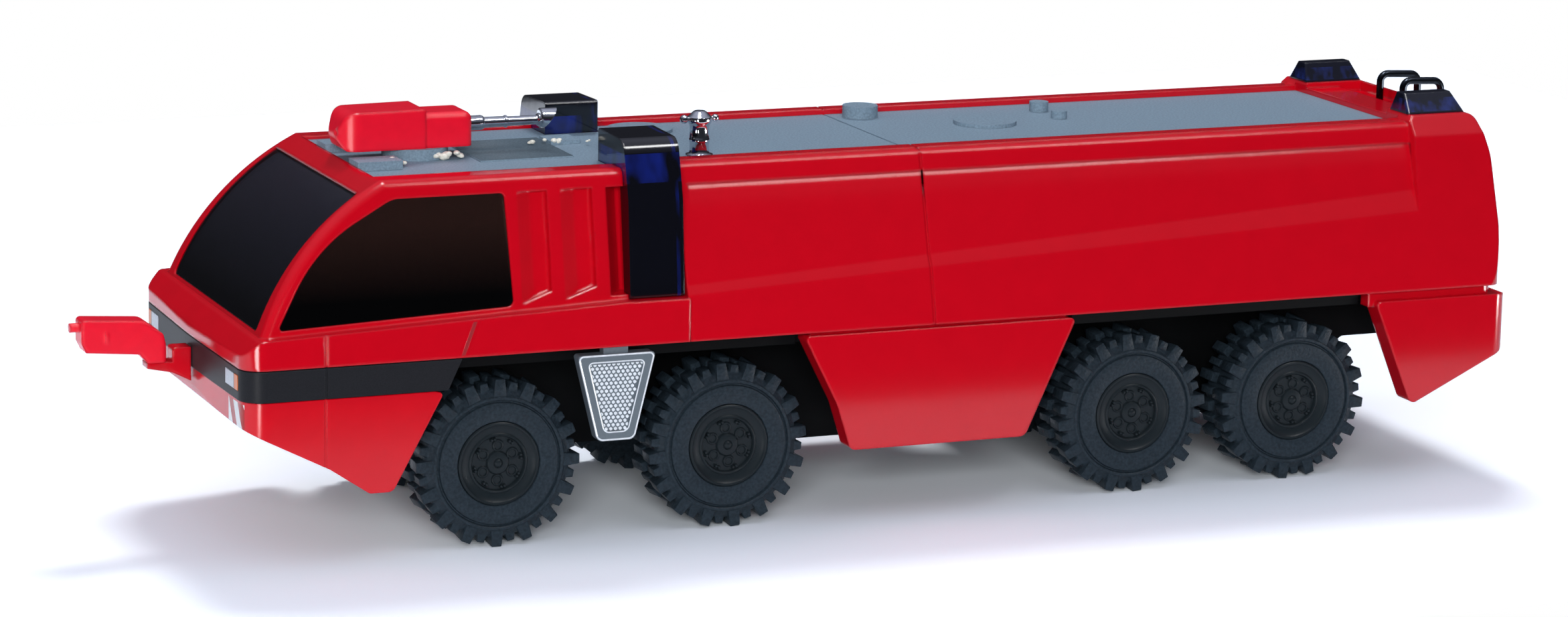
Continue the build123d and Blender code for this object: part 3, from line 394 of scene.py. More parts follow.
@dataclass(frozen=True)
class SmokedStyrene:
    """Clear polystyrene dyed smoke grey, polished in the mould, over a dark cab, with a painted
    reflection that lightens it from foot to head.

    Attributes:
        name: Name of the material.
        low: Colour at the foot of the pane, as sRGB hex, the dark end of the painted reflection.
        high: Colour at its head, the light end of the painted reflection.
        band: Heights between which the painted reflection brightens, in millimetres.
        clear: Share of the light that passes through.
    """

    name: str = "smoked_clear_polystyrene"
    low: str = "#09080a"
    high: str = "#55556a"
    band: tuple[float, float] = (22.5, 32.5)
    clear: float = 1.0

    def build(self) -> Material:
        """Build the node material.

        Returns:
            The material.
        """
        material, tree = new_material(self.name)
        height = object_axes(tree)[2]
        # painted reflection: the pane's colour lightens from its foot to its head
        share = add_node(tree, "MapRange", {
            "Value": height, "From Min": self.band[0] * MM, "From Max": self.band[1] * MM,
        })
        colour = blended(tree, share.outputs["Result"], linear(self.low), linear(self.high))
        close_material(tree, {
            "Base Color": colour,
            "Roughness": 0.04,
            "IOR": CLEAR_IOR,
            "Transmission Weight": self.clear,
            "Normal": soft_relief(
                tree, grain_of(tree, size_mm=6.0), depth_mm=0.01, edge_mm=0.08,
            ),
        })
        return material


@dataclass(frozen=True)
class BlueLens:
    """Dark blue clear polystyrene over a hollow: near black, with blue light painted in patches
    along a band and an upright strip.

    Attributes:
        name: Name of the material.
        deep: Colour of the faces, as sRGB hex.
        lit: Colour of the painted blue light in the patches, as sRGB hex.
        band: Heights of the band of painted blue light, in millimetres.
        seam_x: Span along X of the upright strip of painted blue light down the side, in
            millimetres.
        patch_mm: Size of the patches.
        coat: Share of the polished outer skin.
        fade: Noise values between which a patch fades in.
        squeeze: Scale of the pattern along Z, which draws the patches out upright.
    """

    name: str = "dark_blue_clear_polystyrene"
    deep: str = "#090a12"
    lit: str = "#14247c"
    band: tuple[float, float] = (33.3, 35.9)
    seam_x: tuple[float, float] = (17.4, 17.75)
    patch_mm: float = 2.2
    coat: float = 0.4
    fade: tuple[float, float] = (0.4, 0.72)
    squeeze: float = 0.4

    def build(self) -> Material:
        """Build the node material.

        Returns:
            The material.
        """
        material, tree = new_material(self.name)
        x, _, z = object_axes(tree)
        place = add_node(tree, "TexCoord")
        squeezed = add_node(tree, "Mapping", {
            "Vector": place.outputs["Object"], "Scale": (1.0, 1.0, self.squeeze),
        })
        patches = add_node(tree, "TexNoise", {
            "Vector": squeezed.outputs["Vector"], "Scale": 1 / (self.patch_mm * MM), "Detail": 2.0,
        })
        level = add_node(tree, "MapRange", {
            "Value": patches.outputs["Fac"], "From Min": self.fade[0], "From Max": self.fade[1],
        })
        # painted light: blue patches in a band of heights and in an upright strip
        glow_zones = {0: within(tree, z, *self.band), 1: within(tree, x, *self.seam_x)}
        lit = add_node(tree, "Math", glow_zones, operation="MAXIMUM")
        mask = product(tree, (level.outputs["Result"], lit.outputs[0]))
        close_material(tree, {
            "Base Color": blended(tree, mask, linear(self.deep), linear(self.lit)),
            "Roughness": 0.08,
            "IOR": CLEAR_IOR,
            "Coat Weight": self.coat,
            "Coat Roughness": 0.03,
            "Normal": soft_relief(tree, patches.outputs["Fac"], depth_mm=0.01, edge_mm=0.22),
        })
        return material


@dataclass(frozen=True)
class VacuumChrome:
    """Vacuum-plated plastic or plain wire: a mirror with a slightly wavy base under it.

    Attributes:
        name: Name of the material.
        colour: Reflection colour, as sRGB hex.
        roughness: Roughness of the lacquer under the metal.
        wave_mm: Size of the waves.
        relief_mm: Depth of the waves.
    """

    name: str
    colour: str
    roughness: float
    wave_mm: float = 0.7
    relief_mm: float = 0.02

    def build(self) -> Material:
        """Build the node material.

        Returns:
            The material.
        """
        material, tree = new_material(self.name)
        wave = grain_of(tree, self.wave_mm, detail=1.0)
        close_material(tree, {
            "Base Color": varied(tree, self.colour, wave, swing=0.08),
            "Metallic": 1.0,
            "Roughness": self.roughness,
            "Normal": soft_relief(tree, wave, self.relief_mm, edge_mm=0.05),
        })
        return material


@dataclass(frozen=True)
class StripedApron:
    """Moulded apron with a pad-printed block of slanting red and white warning stripes.

    Attributes:
        plain: The plastic under the print.
        white: Colour of the white print, as sRGB hex.
        red: Colour of the red print between it.
        inner: Distance of the block's inner end from the middle, in millimetres.
        outer: Distance of its outer end.
        low: Lower edge of the block.
        high: Upper edge of the block.
        pitch: Width of a white and a red stripe.
        white_share: Share of the white stripe in the pitch.
        slope: Sideways run of a stripe for each millimetre down.
        front: The print lies ahead of this X.
    """

    plain: MouldedPlastic
    white: str = "#e4e9ee"
    red: str = "#a8150f"
    inner: float = 11.5
    outer: float = 15.7
    low: float = 12.9
    high: float = 15.35
    pitch: float = 2.6
    white_share: float = 0.52
    slope: float = 0.5
    front: float = 54.0

    def build(self) -> Material:
        """Build the node material.

        Returns:
            The material.
        """
        material, tree = new_material(self.plain.name)
        x, across, z = object_axes(tree)
        block_mask = product(tree, (
            within(tree, across, self.inner, self.outer),
            within(tree, z, self.low, self.high),
            within(tree, x, self.front),
        ))
        counted = across_line(tree, across, z, self.slope, self.inner + self.slope * self.low)
        wrapped = add_node(
            tree, "Math", {0: counted, 1: self.pitch * MM}, operation="FLOORED_MODULO",
        )
        stripe = add_node(
            tree, "Math",
            {0: wrapped.outputs[0], 1: self.white_share * self.pitch * MM}, operation="LESS_THAN",
        )
        printed = blended(tree, stripe.outputs[0], linear(self.red), linear(self.white))
        inputs = self.plain.surface(tree)
        colour = blended(tree, block_mask, inputs["Base Color"], printed)
        close_material(tree, {**inputs, "Base Color": colour})
        return material


@dataclass(frozen=True)
class PrintedLamp:
    """Silver pad print on the lamp block, with an orange indicator printed at its outer end.

    Attributes:
        name: Name of the material.
        silver: Colour of the reflector, as sRGB hex.
        orange: Colour of the indicator.
        dark: Colour of the line between them.
        indicator_from: Distance of that line from the middle, in millimetres.
        line_half: Half of its width.
    """

    name: str = "silver_and_orange_pad_print"
    silver: str = "#b9c0cb"
    orange: str = "#d8702a"
    dark: str = "#3a3c44"
    indicator_from: float = 14.1
    line_half: float = 0.08

    def build(self) -> Material:
        """Build the node material.

        Returns:
            The material.
        """
        material, tree = new_material(self.name)
        across = object_axes(tree)[1]
        start, half = self.indicator_from, self.line_half
        outer = within(tree, across, start)
        line = within(tree, across, start - half, start + half)
        grain = grain_of(tree, size_mm=0.25)
        reflector = varied(tree, self.silver, grain, swing=0.08)
        base = blended(tree, outer, reflector, linear(self.orange))
        close_material(tree, {
            "Base Color": blended(tree, line, base, linear(self.dark)),
            "Roughness": 0.3,
            "Metallic": 0.15,
            "Normal": soft_relief(tree, grain, depth_mm=0.006, edge_mm=0.12),
        })
        return material


# Finishes. Each comment says what the surface gives the eye. The grit that an eroded mould, a
# print or a film of glue leaves is about 0.03 mm, too fine to show, so it is drawn at 0.12 to
# 0.3 mm. Ripples and waves of half a millimetre and more have their real size.

# Polished mould: deep even red, mirror-like, with a thin white light along every rounded edge
GLOSSY_RED = MouldedPlastic(
    "glossy_red_polystyrene", "#cb061b", roughness=0.11, grain_mm=2.5, relief_mm=0.003,
    swing=0.02, edge_mm=0.34, gloss=0.4,
)
FINISHES = {
    "red_plastic": GLOSSY_RED,
    # Matt print with fine dust in it: near black, speckled, no clear reflection
    "dark_grey_plastic": MouldedPlastic(
        "satin_dark_grey_print", "#212226", roughness=0.4, grain_mm=0.12, relief_mm=0.01,
        swing=0.12, edge_mm=0.12, gloss=0.1,
    ),
    # Eroded mould: blue grey and sandy, it scatters the light evenly
    "grey_plastic": MouldedPlastic(
        "satin_grey_polystyrene", "#7b90a0", roughness=0.5, grain_mm=0.2, relief_mm=0.05,
        swing=0.2, edge_mm=0.1, gloss=0.15,
    ),
    # Unpolished mould in the shade: a black that swallows the underside
    "black_plastic": MouldedPlastic(
        "matt_black_polystyrene", "#0a0b0c", roughness=0.5, grain_mm=0.2, relief_mm=0.006,
        swing=0.05, edge_mm=0.1, gloss=0.06,
    ),
    # Half-polished mould: soft grey lights on the lips and nuts of the rims
    "rim_plastic": MouldedPlastic(
        "satin_black_wheel_polystyrene", "#1b2226", roughness=0.36, grain_mm=0.3, relief_mm=0.004,
        swing=0.04, edge_mm=0.08, gloss=0.17,
    ),
    # Soft vinyl from an eroded mould: dull, mottled blue black like worn rubber
    "tyre_rubber": MouldedPlastic(
        "matt_moulded_tyre_vinyl", "#242e36", roughness=0.44, grain_mm=0.26, relief_mm=0.06,
        swing=0.3, edge_mm=0.08, gloss=0.17,
    ),
    # Printed film: flat silver with a slight metallic grain
    "silver_print": PrintedLamp(),
    # Polished smoked pane: near black at its foot, with a painted reflection that turns it bluish
    # grey towards its head
    "tinted_glazing": SmokedStyrene(),
    # Polished blue lens: black faces with patches of painted blue light in a band and an upright
    # strip
    "blue_lens": BlueLens(),
    # Plating over lacquer: bright and slightly wavy, so its reflections break up
    "chrome_plating": VacuumChrome("vacuum_chrome_on_polystyrene", "#d9dce2", roughness=0.1),
    # Drawn wire: a duller grey metal with blurred lights
    "steel_pin": VacuumChrome("plain_drawn_steel_pin", "#a6a8ac", roughness=0.3),
}
# Plastic of the grey decks, painted darker as shade: a ground that the bright studs stand out from
STEP_GREY_PAINTED_SHADE = MouldedPlastic(
    "satin_grey_step_polystyrene", "#636e77", roughness=0.4, grain_mm=0.2, relief_mm=0.006,
    swing=0.05, edge_mm=0.08,
)
# Silver studs and beads of the step, painted near white as their highlights: each is a small
# bright light
STEP_STUDS_PAINTED_HIGHLIGHT = MouldedPlastic(
    "silver_dusted_step_studs", "#e9f0f8", roughness=0.2, grain_mm=0.3, relief_mm=0.004,
    swing=0.1, edge_mm=0.05, gloss=1.0,
)
# Heat-blackened wire: dark, with one narrow light along each bend
DARK_WIRE = VacuumChrome(
    "dark_burnished_steel_wire", "#2a2e34", roughness=0.25, wave_mm=1.5, relief_mm=0.01,
)
# Set glue: dull off-white crumbs
GLUE = MouldedPlastic(
    "dried_white_glue", "#e6e4d8", roughness=0.45, grain_mm=0.3, relief_mm=0.05, swing=0.06,
    edge_mm=0.08,
)
# Fine ribs from the mould: the field painted darker as the shade that each rib casts on the next
WALKWAY = MouldedPlastic(
    "ribbed_grey_polystyrene", "#55646f", roughness=0.5, grain_mm=0.2, relief_mm=0.02,
    swing=0.15, edge_mm=0.05, gloss=0.15,
)
# Polished mould under pad print: red that shines less than the cab, with crisp flat stripes
APRON = StripedApron(MouldedPlastic(
    "glossy_red_polystyrene_with_warning_stripes", "#d0051a", roughness=0.2, grain_mm=2.5,
    relief_mm=0.004, swing=0.03, edge_mm=0.15, gloss=0.35,
))
# Polished like the body, with one pressed groove: dark on one flank and light on the other
CAB_RED = GroovedPlastic(GLOSSY_RED)
# Thinner polished pane: its upper half painted faintly red, as a painted glow of the cab seen
# through it
SIDE_GLASS = SmokedStyrene(
    "smoked_clear_side_window", low="#040404", high="#4c322c", band=(24.0, 30.5), clear=0.8,
)
# Worn mould with rounder edges: lighter and hazier than the body
MONITOR_RED = MouldedPlastic(
    "soft_edged_red_polystyrene", "#f01530", roughness=0.26, grain_mm=1.2, relief_mm=0.02,
    swing=0.03, edge_mm=0.5, gloss=0.4,
)
# Thinner moulded lens without a polished skin: clearer patches of painted blue light in a low band
REAR_LENS = BlueLens(
    "blue_clear_polystyrene_rear_lamp", deep="#0c0f1e", lit="#26367e", band=(35.5, 36.7),
    seam_x=(-0.5, 0.5), patch_mm=1.3, coat=0.0,
)
# Nodes whose finish isn't that of their material slot
NODE_FINISHES = {
    APRON: ("front_apron",),
    CAB_RED: ("cab_shell",),
    MONITOR_RED: ("roof_monitor_housing", "bumper_monitor"),
    REAR_LENS: ("rear_beacon_left", "rear_beacon_right"),
    SIDE_GLASS: ("side_window_left", "side_window_right"),
    STEP_GREY_PAINTED_SHADE: ("step_left", "step_right"),
}


# Shapes

def lathe(profile: Sequence[tuple[float, float]], steps: int, closed: bool = False) -> Shape:
    """Turn a profile of radius and height, in millimetres, round the Z axis.

    Args:
        profile: Radius and height of each corner.
        steps: Number of segments in the full turn.
        closed: Whether the last corner joins the first.

    Returns:
        The turned shape, in metres.
    """
    shape = bmesh.new()
    corners = [shape.verts.new((radius * MM, 0.0, height * MM)) for radius, height in profile]
    pairs = list(zip(corners, corners[1:]))
    if closed:
        pairs.append((corners[-1], corners[0]))
    edges = [shape.edges.new(pair) for pair in pairs]
    bmesh.ops.spin(
        shape, geom=corners + edges, cent=(0, 0, 0), axis=(0, 0, 1), angle=math.tau, steps=steps,
        use_merge=True,
    )
    bmesh.ops.remove_doubles(shape, verts=shape.verts, dist=MERGE_MM * MM)
    bmesh.ops.recalc_face_normals(shape, faces=shape.faces)
    return shape


def block(size: tuple[float, float, float], bevel_mm: float, segments: int = 2) -> Shape:
    """Block centred on the origin, with rounded edges.

    Args:
        size: Lengths along X, Y and Z, in millimetres.
        bevel_mm: Rounding of the edges.
        segments: Faces across each rounding.

    Returns:
        The block, in metres.
    """
    shape = bmesh.new()
    bmesh.ops.create_cube(shape, size=1.0)
    bmesh.ops.scale(shape, vec=Vector(size) * MM, verts=shape.verts)
    bmesh.ops.bevel(
        shape, geom=shape.edges[:], offset=bevel_mm * MM, affect="EDGES", segments=segments,
        profile=0.5, material=-1,
    )
    return shape


def wire(points: Sequence[Vector], radius_mm: float, bend_mm: float, sides: int = 16) -> Shape:
    """Round wire through points in millimetres, with rounded bends and flat ends.

    Args:
        points: Corners of the wire's line.
        radius_mm: Radius of the wire.
        bend_mm: Radius of the bends.
        sides: Sides of its section.

    Returns:
        The wire, in metres.
    """
    line = bmesh.new()
    verts = [line.verts.new(Vector(point) * MM) for point in points]
    for pair in zip(verts, verts[1:]):
        line.edges.new(pair)
    bmesh.ops.bevel(
        line, geom=verts[1:-1], offset=bend_mm * MM, affect="VERTICES",
        segments=WIRE_BEND_FACES, profile=0.5, material=-1,
    )
    line.verts.ensure_lookup_table()
    ends = [v for v in line.verts if len(v.link_edges) == 1]
    onward = [min(ends, key=lambda v: (v.co - Vector(points[0]) * MM).length)]
    path, seen = [], set()
    while onward:
        here = onward[0]
        seen.add(here)
        path.append(here.co.copy())
        onward = [e.other_vert(here) for e in here.link_edges if e.other_vert(here) not in seen]
    line.free()
    shape = bmesh.new()
    rings = []
    up = Vector((0, 1, 0))
    for i, place in enumerate(path):
        before = path[max(i - 1, 0)]
        after = path[min(i + 1, len(path) - 1)]
        along = (after - before).normalized()
        side = up.cross(along)
        if side.length < NEARLY_PARALLEL:
            side = Vector((1, 0, 0)).cross(along)
        side.normalize()
        turn = Matrix((side, along.cross(side), along)).transposed().to_4x4()
        ring = bmesh.ops.create_circle(
            shape, cap_ends=i in (0, len(path) - 1), segments=sides, radius=radius_mm * MM,
            matrix=Matrix.Translation(place) @ turn,
        )
        rings.append(list(dict.fromkeys(e for v in ring["verts"] for e in v.link_edges)))
    for low, high in zip(rings, rings[1:]):
        bmesh.ops.bridge_loops(shape, edges=low + high)
    bmesh.ops.recalc_face_normals(shape, faces=shape.faces)
    return shape


def stamp(target: Shape, shape: Shape, places: Iterable[Matrix]) -> None:
    """Copy a shape into another one at each place, and free it.

    Args:
        target: Shape that gets the copies.
        shape: Shape to copy.
        places: Transform of each copy.
    """
    pattern = bpy.data.meshes.new("pattern")
    shape.to_mesh(pattern)
    shape.free()
    for place in places:
        copy = pattern.copy()
        copy.transform(place)
        target.from_mesh(copy)
        bpy.data.meshes.remove(copy)
    bpy.data.meshes.remove(pattern)


def at(x: float, y: float, z: float) -> Matrix:
    """Shift by millimetres."""
    return Matrix.Translation(Vector((x, y, z)) * MM)


def spun(angle_deg: float, axis: str = "Z") -> Matrix:
    """Turn about an axis of the origin."""
    return Matrix.Rotation(math.radians(angle_deg), 4, axis)


def put_in_order(shape: Shape) -> None:
    """Sort a shape by place, because a spin lists what it makes in another order each run.

    Args:
        shape: Shape to sort.
    """
    shape.verts.sort(key=lambda v: v.co.dot(SORT_ALONG))
    shape.edges.sort(key=lambda e: (e.verts[0].co + e.verts[1].co).dot(SORT_ALONG))
    shape.faces.sort(key=lambda f: f.calc_center_median().dot(SORT_ALONG))


def finish_piece(
    name: str,
    shape: Shape,
    material: Material,
    body: str,
    replaced: Sequence[str] = (),
) -> bpy.types.Object:
    """Turn a shape into a dressed piece that rides on a body.

    Args:
        name: Name of the piece.
        shape: Its shape, which is freed.
        material: Its material.
        body: Body that it moves with.
        replaced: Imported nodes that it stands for.

    Returns:
        The piece.
    """
    bmesh.ops.recalc_face_normals(shape, faces=shape.faces)
    put_in_order(shape)
    mesh = bpy.data.meshes.new(name)
    shape.to_mesh(mesh)
    shape.free()
    mesh.materials.append(material)
    mesh.shade_smooth()
    mesh.set_sharp_from_angle(angle=math.radians(SMOOTH_DEG))
    piece = bpy.data.objects.new(name, mesh)
    bpy.context.scene.collection.objects.link(piece)
    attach(piece, body)
    if replaced:
        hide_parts(*replaced)
    log.info("built %s with %d faces", name, len(mesh.polygons))
    return piece


# Wheels

@dataclass(frozen=True)
class Lug:
    """One kind of tread lug, drawn as a block that narrows at its top.

    Attributes:
        size: Height, length and width, in millimetres.
        top_from: Height above its middle where it narrows.
        top_width: Width of its top as a share of its foot.
        shift: Its place as a share of the pitch.
        sunk: Depth of its middle below the crown of the tyre.
        inset: Distance of its middle from the side of the tyre.
        tilt_deg: Lean out of the wheel's plane.
    """

    size: tuple[float, float, float]
    top_from: float
    top_width: float
    shift: float
    sunk: float
    inset: float
    tilt_deg: float

    def build(self) -> Shape:
        """Build the lug with rounded corners, its top towards X.

        Returns:
            The shape, in metres.
        """
        shape = block(self.size, bevel_mm=0.1)
        top = [v for v in shape.verts if v.co.x > self.top_from * MM]
        bmesh.ops.scale(shape, vec=(1.0, 1.0, self.top_width), verts=top)
        return shape


@dataclass(frozen=True)
class Wheel:
    """One wheel: a vinyl tyre with staggered lugs on a dished polystyrene rim.

    The wheel is drawn round the Z axis with its outer face at height 0, then laid on its side.

    Attributes:
        number: Number of its axle, from the front.
        side: Side of the vehicle.
        axle_x: X of the axle, in millimetres.
        phase_deg: Angle of a long lug, from the top towards the front.
        tyre_r: Radius of the tyre.
        ground_gap: Height of the lowest lug above the table.
        face_y: Distance of its outer face from the middle.
        width: Width of the tyre.
        pairs: Pairs of lugs in each row.
        lugs: The kinds of lug in a pair.
        steps: Segments of the tyre's full turn.
        rim_steps: Segments of the rim's full turn.
        plate: Height of the hub plate, behind the outer face.
        holes: Number of ringed holes in it.
        hole_circle: Radius of the circle that they lie on.
        nut_pairs: Number of pairs of nuts.
        nut_circle: Radius of the circle that they lie on.
        nut_angles: Angles of the two nuts of a pair.
    """

    number: int
    side: Side
    axle_x: float
    phase_deg: float
    tyre_r: float = 7.88
    ground_gap: float = 0.02
    face_y: float = 14.9
    width: float = 5.7
    pairs: int = 16
    lugs: tuple[Lug, Lug] = (
        Lug((1.62, 2.3, 1.24), 0.55, 0.78, 0.0, 0.86, 1.3, 4.0),
        Lug((0.95, 1.9, 1.0), 0.3, 0.72, 0.5, 0.8, 1.45, 3.0),
    )
    steps: int = 128
    rim_steps: int = 96
    plate: float = -0.62
    holes: int = 6
    hole_circle: float = 1.62
    nut_pairs: int = 8
    nut_circle: float = 2.26
    nut_angles: tuple[float, float] = (9.0, 17.0)

    def placed(self) -> Matrix:
        """Transform from the drawn wheel to its place under the truck."""
        middle = at(self.axle_x, self.side.value * self.face_y, self.tyre_r + self.ground_gap)
        return middle @ spun(-90 * self.side.value, "X")

    def turned(self, angle_deg: float) -> Matrix:
        """Turn about the wheel's own axis, measured from the top towards the front."""
        return spun(self.side.value * (angle_deg + self.phase_deg) - 90 * self.side.value)

    def tread(self, target: Shape) -> None:
        """Set the two rows of lugs on the carcass, the inner row half a pitch on.

        Args:
            target: The carcass, which gets the lugs.
        """
        pitch = 360 / self.pairs
        for row in (0, 1):
            for lug in self.lugs:
                height = lug.inset - self.width if row else -lug.inset
                lean = spun(-lug.tilt_deg if row else lug.tilt_deg, "Y") @ spun(90, "X")
                stand = at(self.tyre_r - lug.sunk, 0, height) @ lean
                places = [
                    self.turned(pitch * (i + lug.shift + row / 2)) @ stand
                    for i in range(self.pairs)
                ]
                stamp(target, lug.build(), places)

    def tyre(self, material: Material) -> bpy.types.Object:
        """Build the tyre.

        Args:
            material: Its material.

        Returns:
            The piece.
        """
        back = -self.width
        profile = (
            # bead, flat side wall, groove, ring, shoulder, tread floor and the same behind
            (3.92, -0.6), (3.92, -0.22), (4.02, -0.08), (4.25, -0.02), (5.0, 0.0), (5.6, -0.02),
            (5.7, -0.05), (5.78, -0.28), (5.9, -0.3), (5.98, -0.06), (6.08, 0.0), (6.24, -0.02),
            (6.36, -0.16), (6.5, -0.32), (6.85, -0.48), (7.02, -0.7), (7.06, -1.0),
            (7.06, back + 1.0), (7.02, back + 0.7), (6.85, back + 0.48), (6.36, back + 0.14),
            (6.1, back + 0.02), (4.25, back + 0.02), (3.92, back + 0.2),
        )
        shape = lathe(profile, self.steps, closed=True)
        self.tread(shape)
        bmesh.ops.transform(shape, matrix=self.placed(), verts=shape.verts)
        return finish_piece(
            f"lugged_tyre_{self.number}_{self.side.label}", shape, material, f"axle_{self.number}",
            (f"tyre_{self.number}_{self.side.label}",),
        )

    def rim(self, material: Material) -> bpy.types.Object:
        """Build the rim with its lip, hub, ringed holes and nuts.

        Args:
            material: Its material.

        Returns:
            The piece.
        """
        profile = (
            # flange, shallow cone, lip ring, hub plate and hub
            (3.9, -0.55), (3.93, -0.3), (3.9, -0.1), (3.8, -0.02), (3.66, -0.04), (3.56, -0.16),
            (3.1, -0.3), (2.88, -0.36), (2.82, -0.28), (2.74, -0.22), (2.64, -0.22), (2.56, -0.3),
            (2.5, self.plate), (1.12, self.plate), (1.06, -0.46), (0.98, -0.36), (0.7, -0.3),
            (0.46, -0.3), (0.42, -0.4), (0.34, -0.24), (0.2, -0.16), (0.0, -0.14),
        )
        shape = lathe(profile, self.rim_steps)
        back = (
            (3.9, -0.55), (3.78, -0.7), (3.78, 0.3 - self.width), (3.5, 0.3 - self.width),
            (3.4, -2.9), (1.5, -3.2), (0.9, -3.6), (0.7, -3.6),
        )
        stamp(shape, lathe(back, self.rim_steps), (Matrix.Identity(4),))
        ring = lathe((
            (0.34, -0.02), (0.38, 0.16), (0.46, 0.2), (0.54, 0.16), (0.58, -0.05), (0.34, -0.05),
        ), steps=20, closed=True)
        stamp(shape, ring, [
            self.turned(i * 360 / self.holes) @ at(self.hole_circle, 0, self.plate)
            for i in range(self.holes)
        ])
        nut = bmesh.new()
        bmesh.ops.create_cone(
            nut, cap_ends=True, segments=6, radius1=0.19 * MM, radius2=0.14 * MM, depth=0.5 * MM,
        )
        bmesh.ops.bevel(
            nut, geom=nut.edges[:], offset=0.03 * MM, affect="EDGES", segments=1, profile=0.5,
            material=-1,
        )
        stamp(shape, nut, [
            self.turned(angle + i * 360 / self.nut_pairs)
            @ at(self.nut_circle, 0, self.plate + 0.14)
            for i in range(self.nut_pairs) for angle in self.nut_angles
        ])
        bmesh.ops.transform(shape, matrix=self.placed(), verts=shape.verts)
        return finish_piece(
            f"dished_rim_{self.number}_{self.side.label}", shape, material, f"axle_{self.number}",
            (f"rim_{self.number}_{self.side.label}",),
        )


# Cab

@dataclass(frozen=True)
class EntryStep:
    """Entry step between the front axles: a framed tread plate full of small studs.

    Attributes:
        side: Side of the vehicle.
        x: X of its middle line, in millimetres.
        face_y: Distance of its face from the middle of the vehicle.
        top_z: Height of its upper edge.
        low_z: Height of its lower edge.
        top_half: Half of its width at the top.
        low_half: Half of its width at the foot.
        beads: For each bead, its distance from the sides, the foot and the top, and its radius.
        bead_in: Depth of the beads' middle behind the face.
        margin: Distance of the studs from the sides.
        field: Distances of the field of studs from the foot and the top.
        pitch: Distance between two studs.
        rows: Rows of studs.
        stud_r: Radius of a stud.
        stud_in: Depth of its middle behind the face.
    """

    side: Side
    x: float = 24.03
    face_y: float = 17.2
    top_z: float = 18.0
    low_z: float = 9.86
    top_half: float = 3.8
    low_half: float = 1.8
    beads: tuple[tuple[float, float, float, float], ...] = (
        (0.08, 0.1, 0.1, 0.1), (0.84, 0.8, 0.72, 0.08),
    )
    bead_in: float = 0.05
    margin: float = 0.98
    field: tuple[float, float] = (1.08, 0.98)
    pitch: float = 0.46
    rows: int = 18
    stud_r: float = 0.19
    stud_in: float = 0.18

    def half_at(self, z: float) -> float:
        """Half width of the step's outline at a height."""
        share = (z - self.low_z) / (self.top_z - self.low_z)
        return self.low_half + (self.top_half - self.low_half) * share

    def edging(self, material: Material) -> bpy.types.Object:
        """Build the bright bead round the plate and the one round the field of studs.

        Args:
            material: Its material.

        Returns:
            The piece.
        """
        shape = bmesh.new()
        for inset, low, high, gauge in self.beads:
            bottom, top = self.low_z + low, self.top_z - high
            corners = [
                Vector((self.x + sign * (self.half_at(z) - inset), 0.0, z))
                for sign, z in ((-1, bottom), (1, bottom), (1, top), (-1, top))
            ]
            seam = (corners[0] + corners[1]) / 2
            bead = wire([seam, *corners[1:], corners[0], seam], gauge, bend_mm=0.5, sides=8)
            stamp(shape, bead, (at(0, self.side.value * (self.face_y - self.bead_in), 0),))
        return finish_piece(
            f"step_beads_{self.side.label}", shape, material, "truck_body",
        )

    def studs(self, material: Material) -> bpy.types.Object:
        """Build the studs of the tread plate.

        Args:
            material: Its material.

        Returns:
            The piece.
        """
        shape = bmesh.new()
        places = []
        low, high = self.low_z + self.field[0], self.top_z - self.field[1]
        for row in range(self.rows):
            z = low + (high - low) * row / (self.rows - 1)
            odd = row % 2
            count = int((self.half_at(z) - self.margin) / self.pitch - odd / 2)
            for column in range(-count - odd, count + 1):
                x = self.x + (column + odd / 2) * self.pitch
                places.append(at(x, self.side.value * (self.face_y - self.stud_in), z))
        dome = bmesh.new()
        bmesh.ops.create_icosphere(dome, subdivisions=1, radius=self.stud_r * MM)
        bmesh.ops.scale(dome, vec=(1.0, 0.8, 1.0), verts=dome.verts)
        stamp(shape, dome, places)
        return finish_piece(
            f"step_studs_{self.side.label}", shape, material, "truck_body",
        )


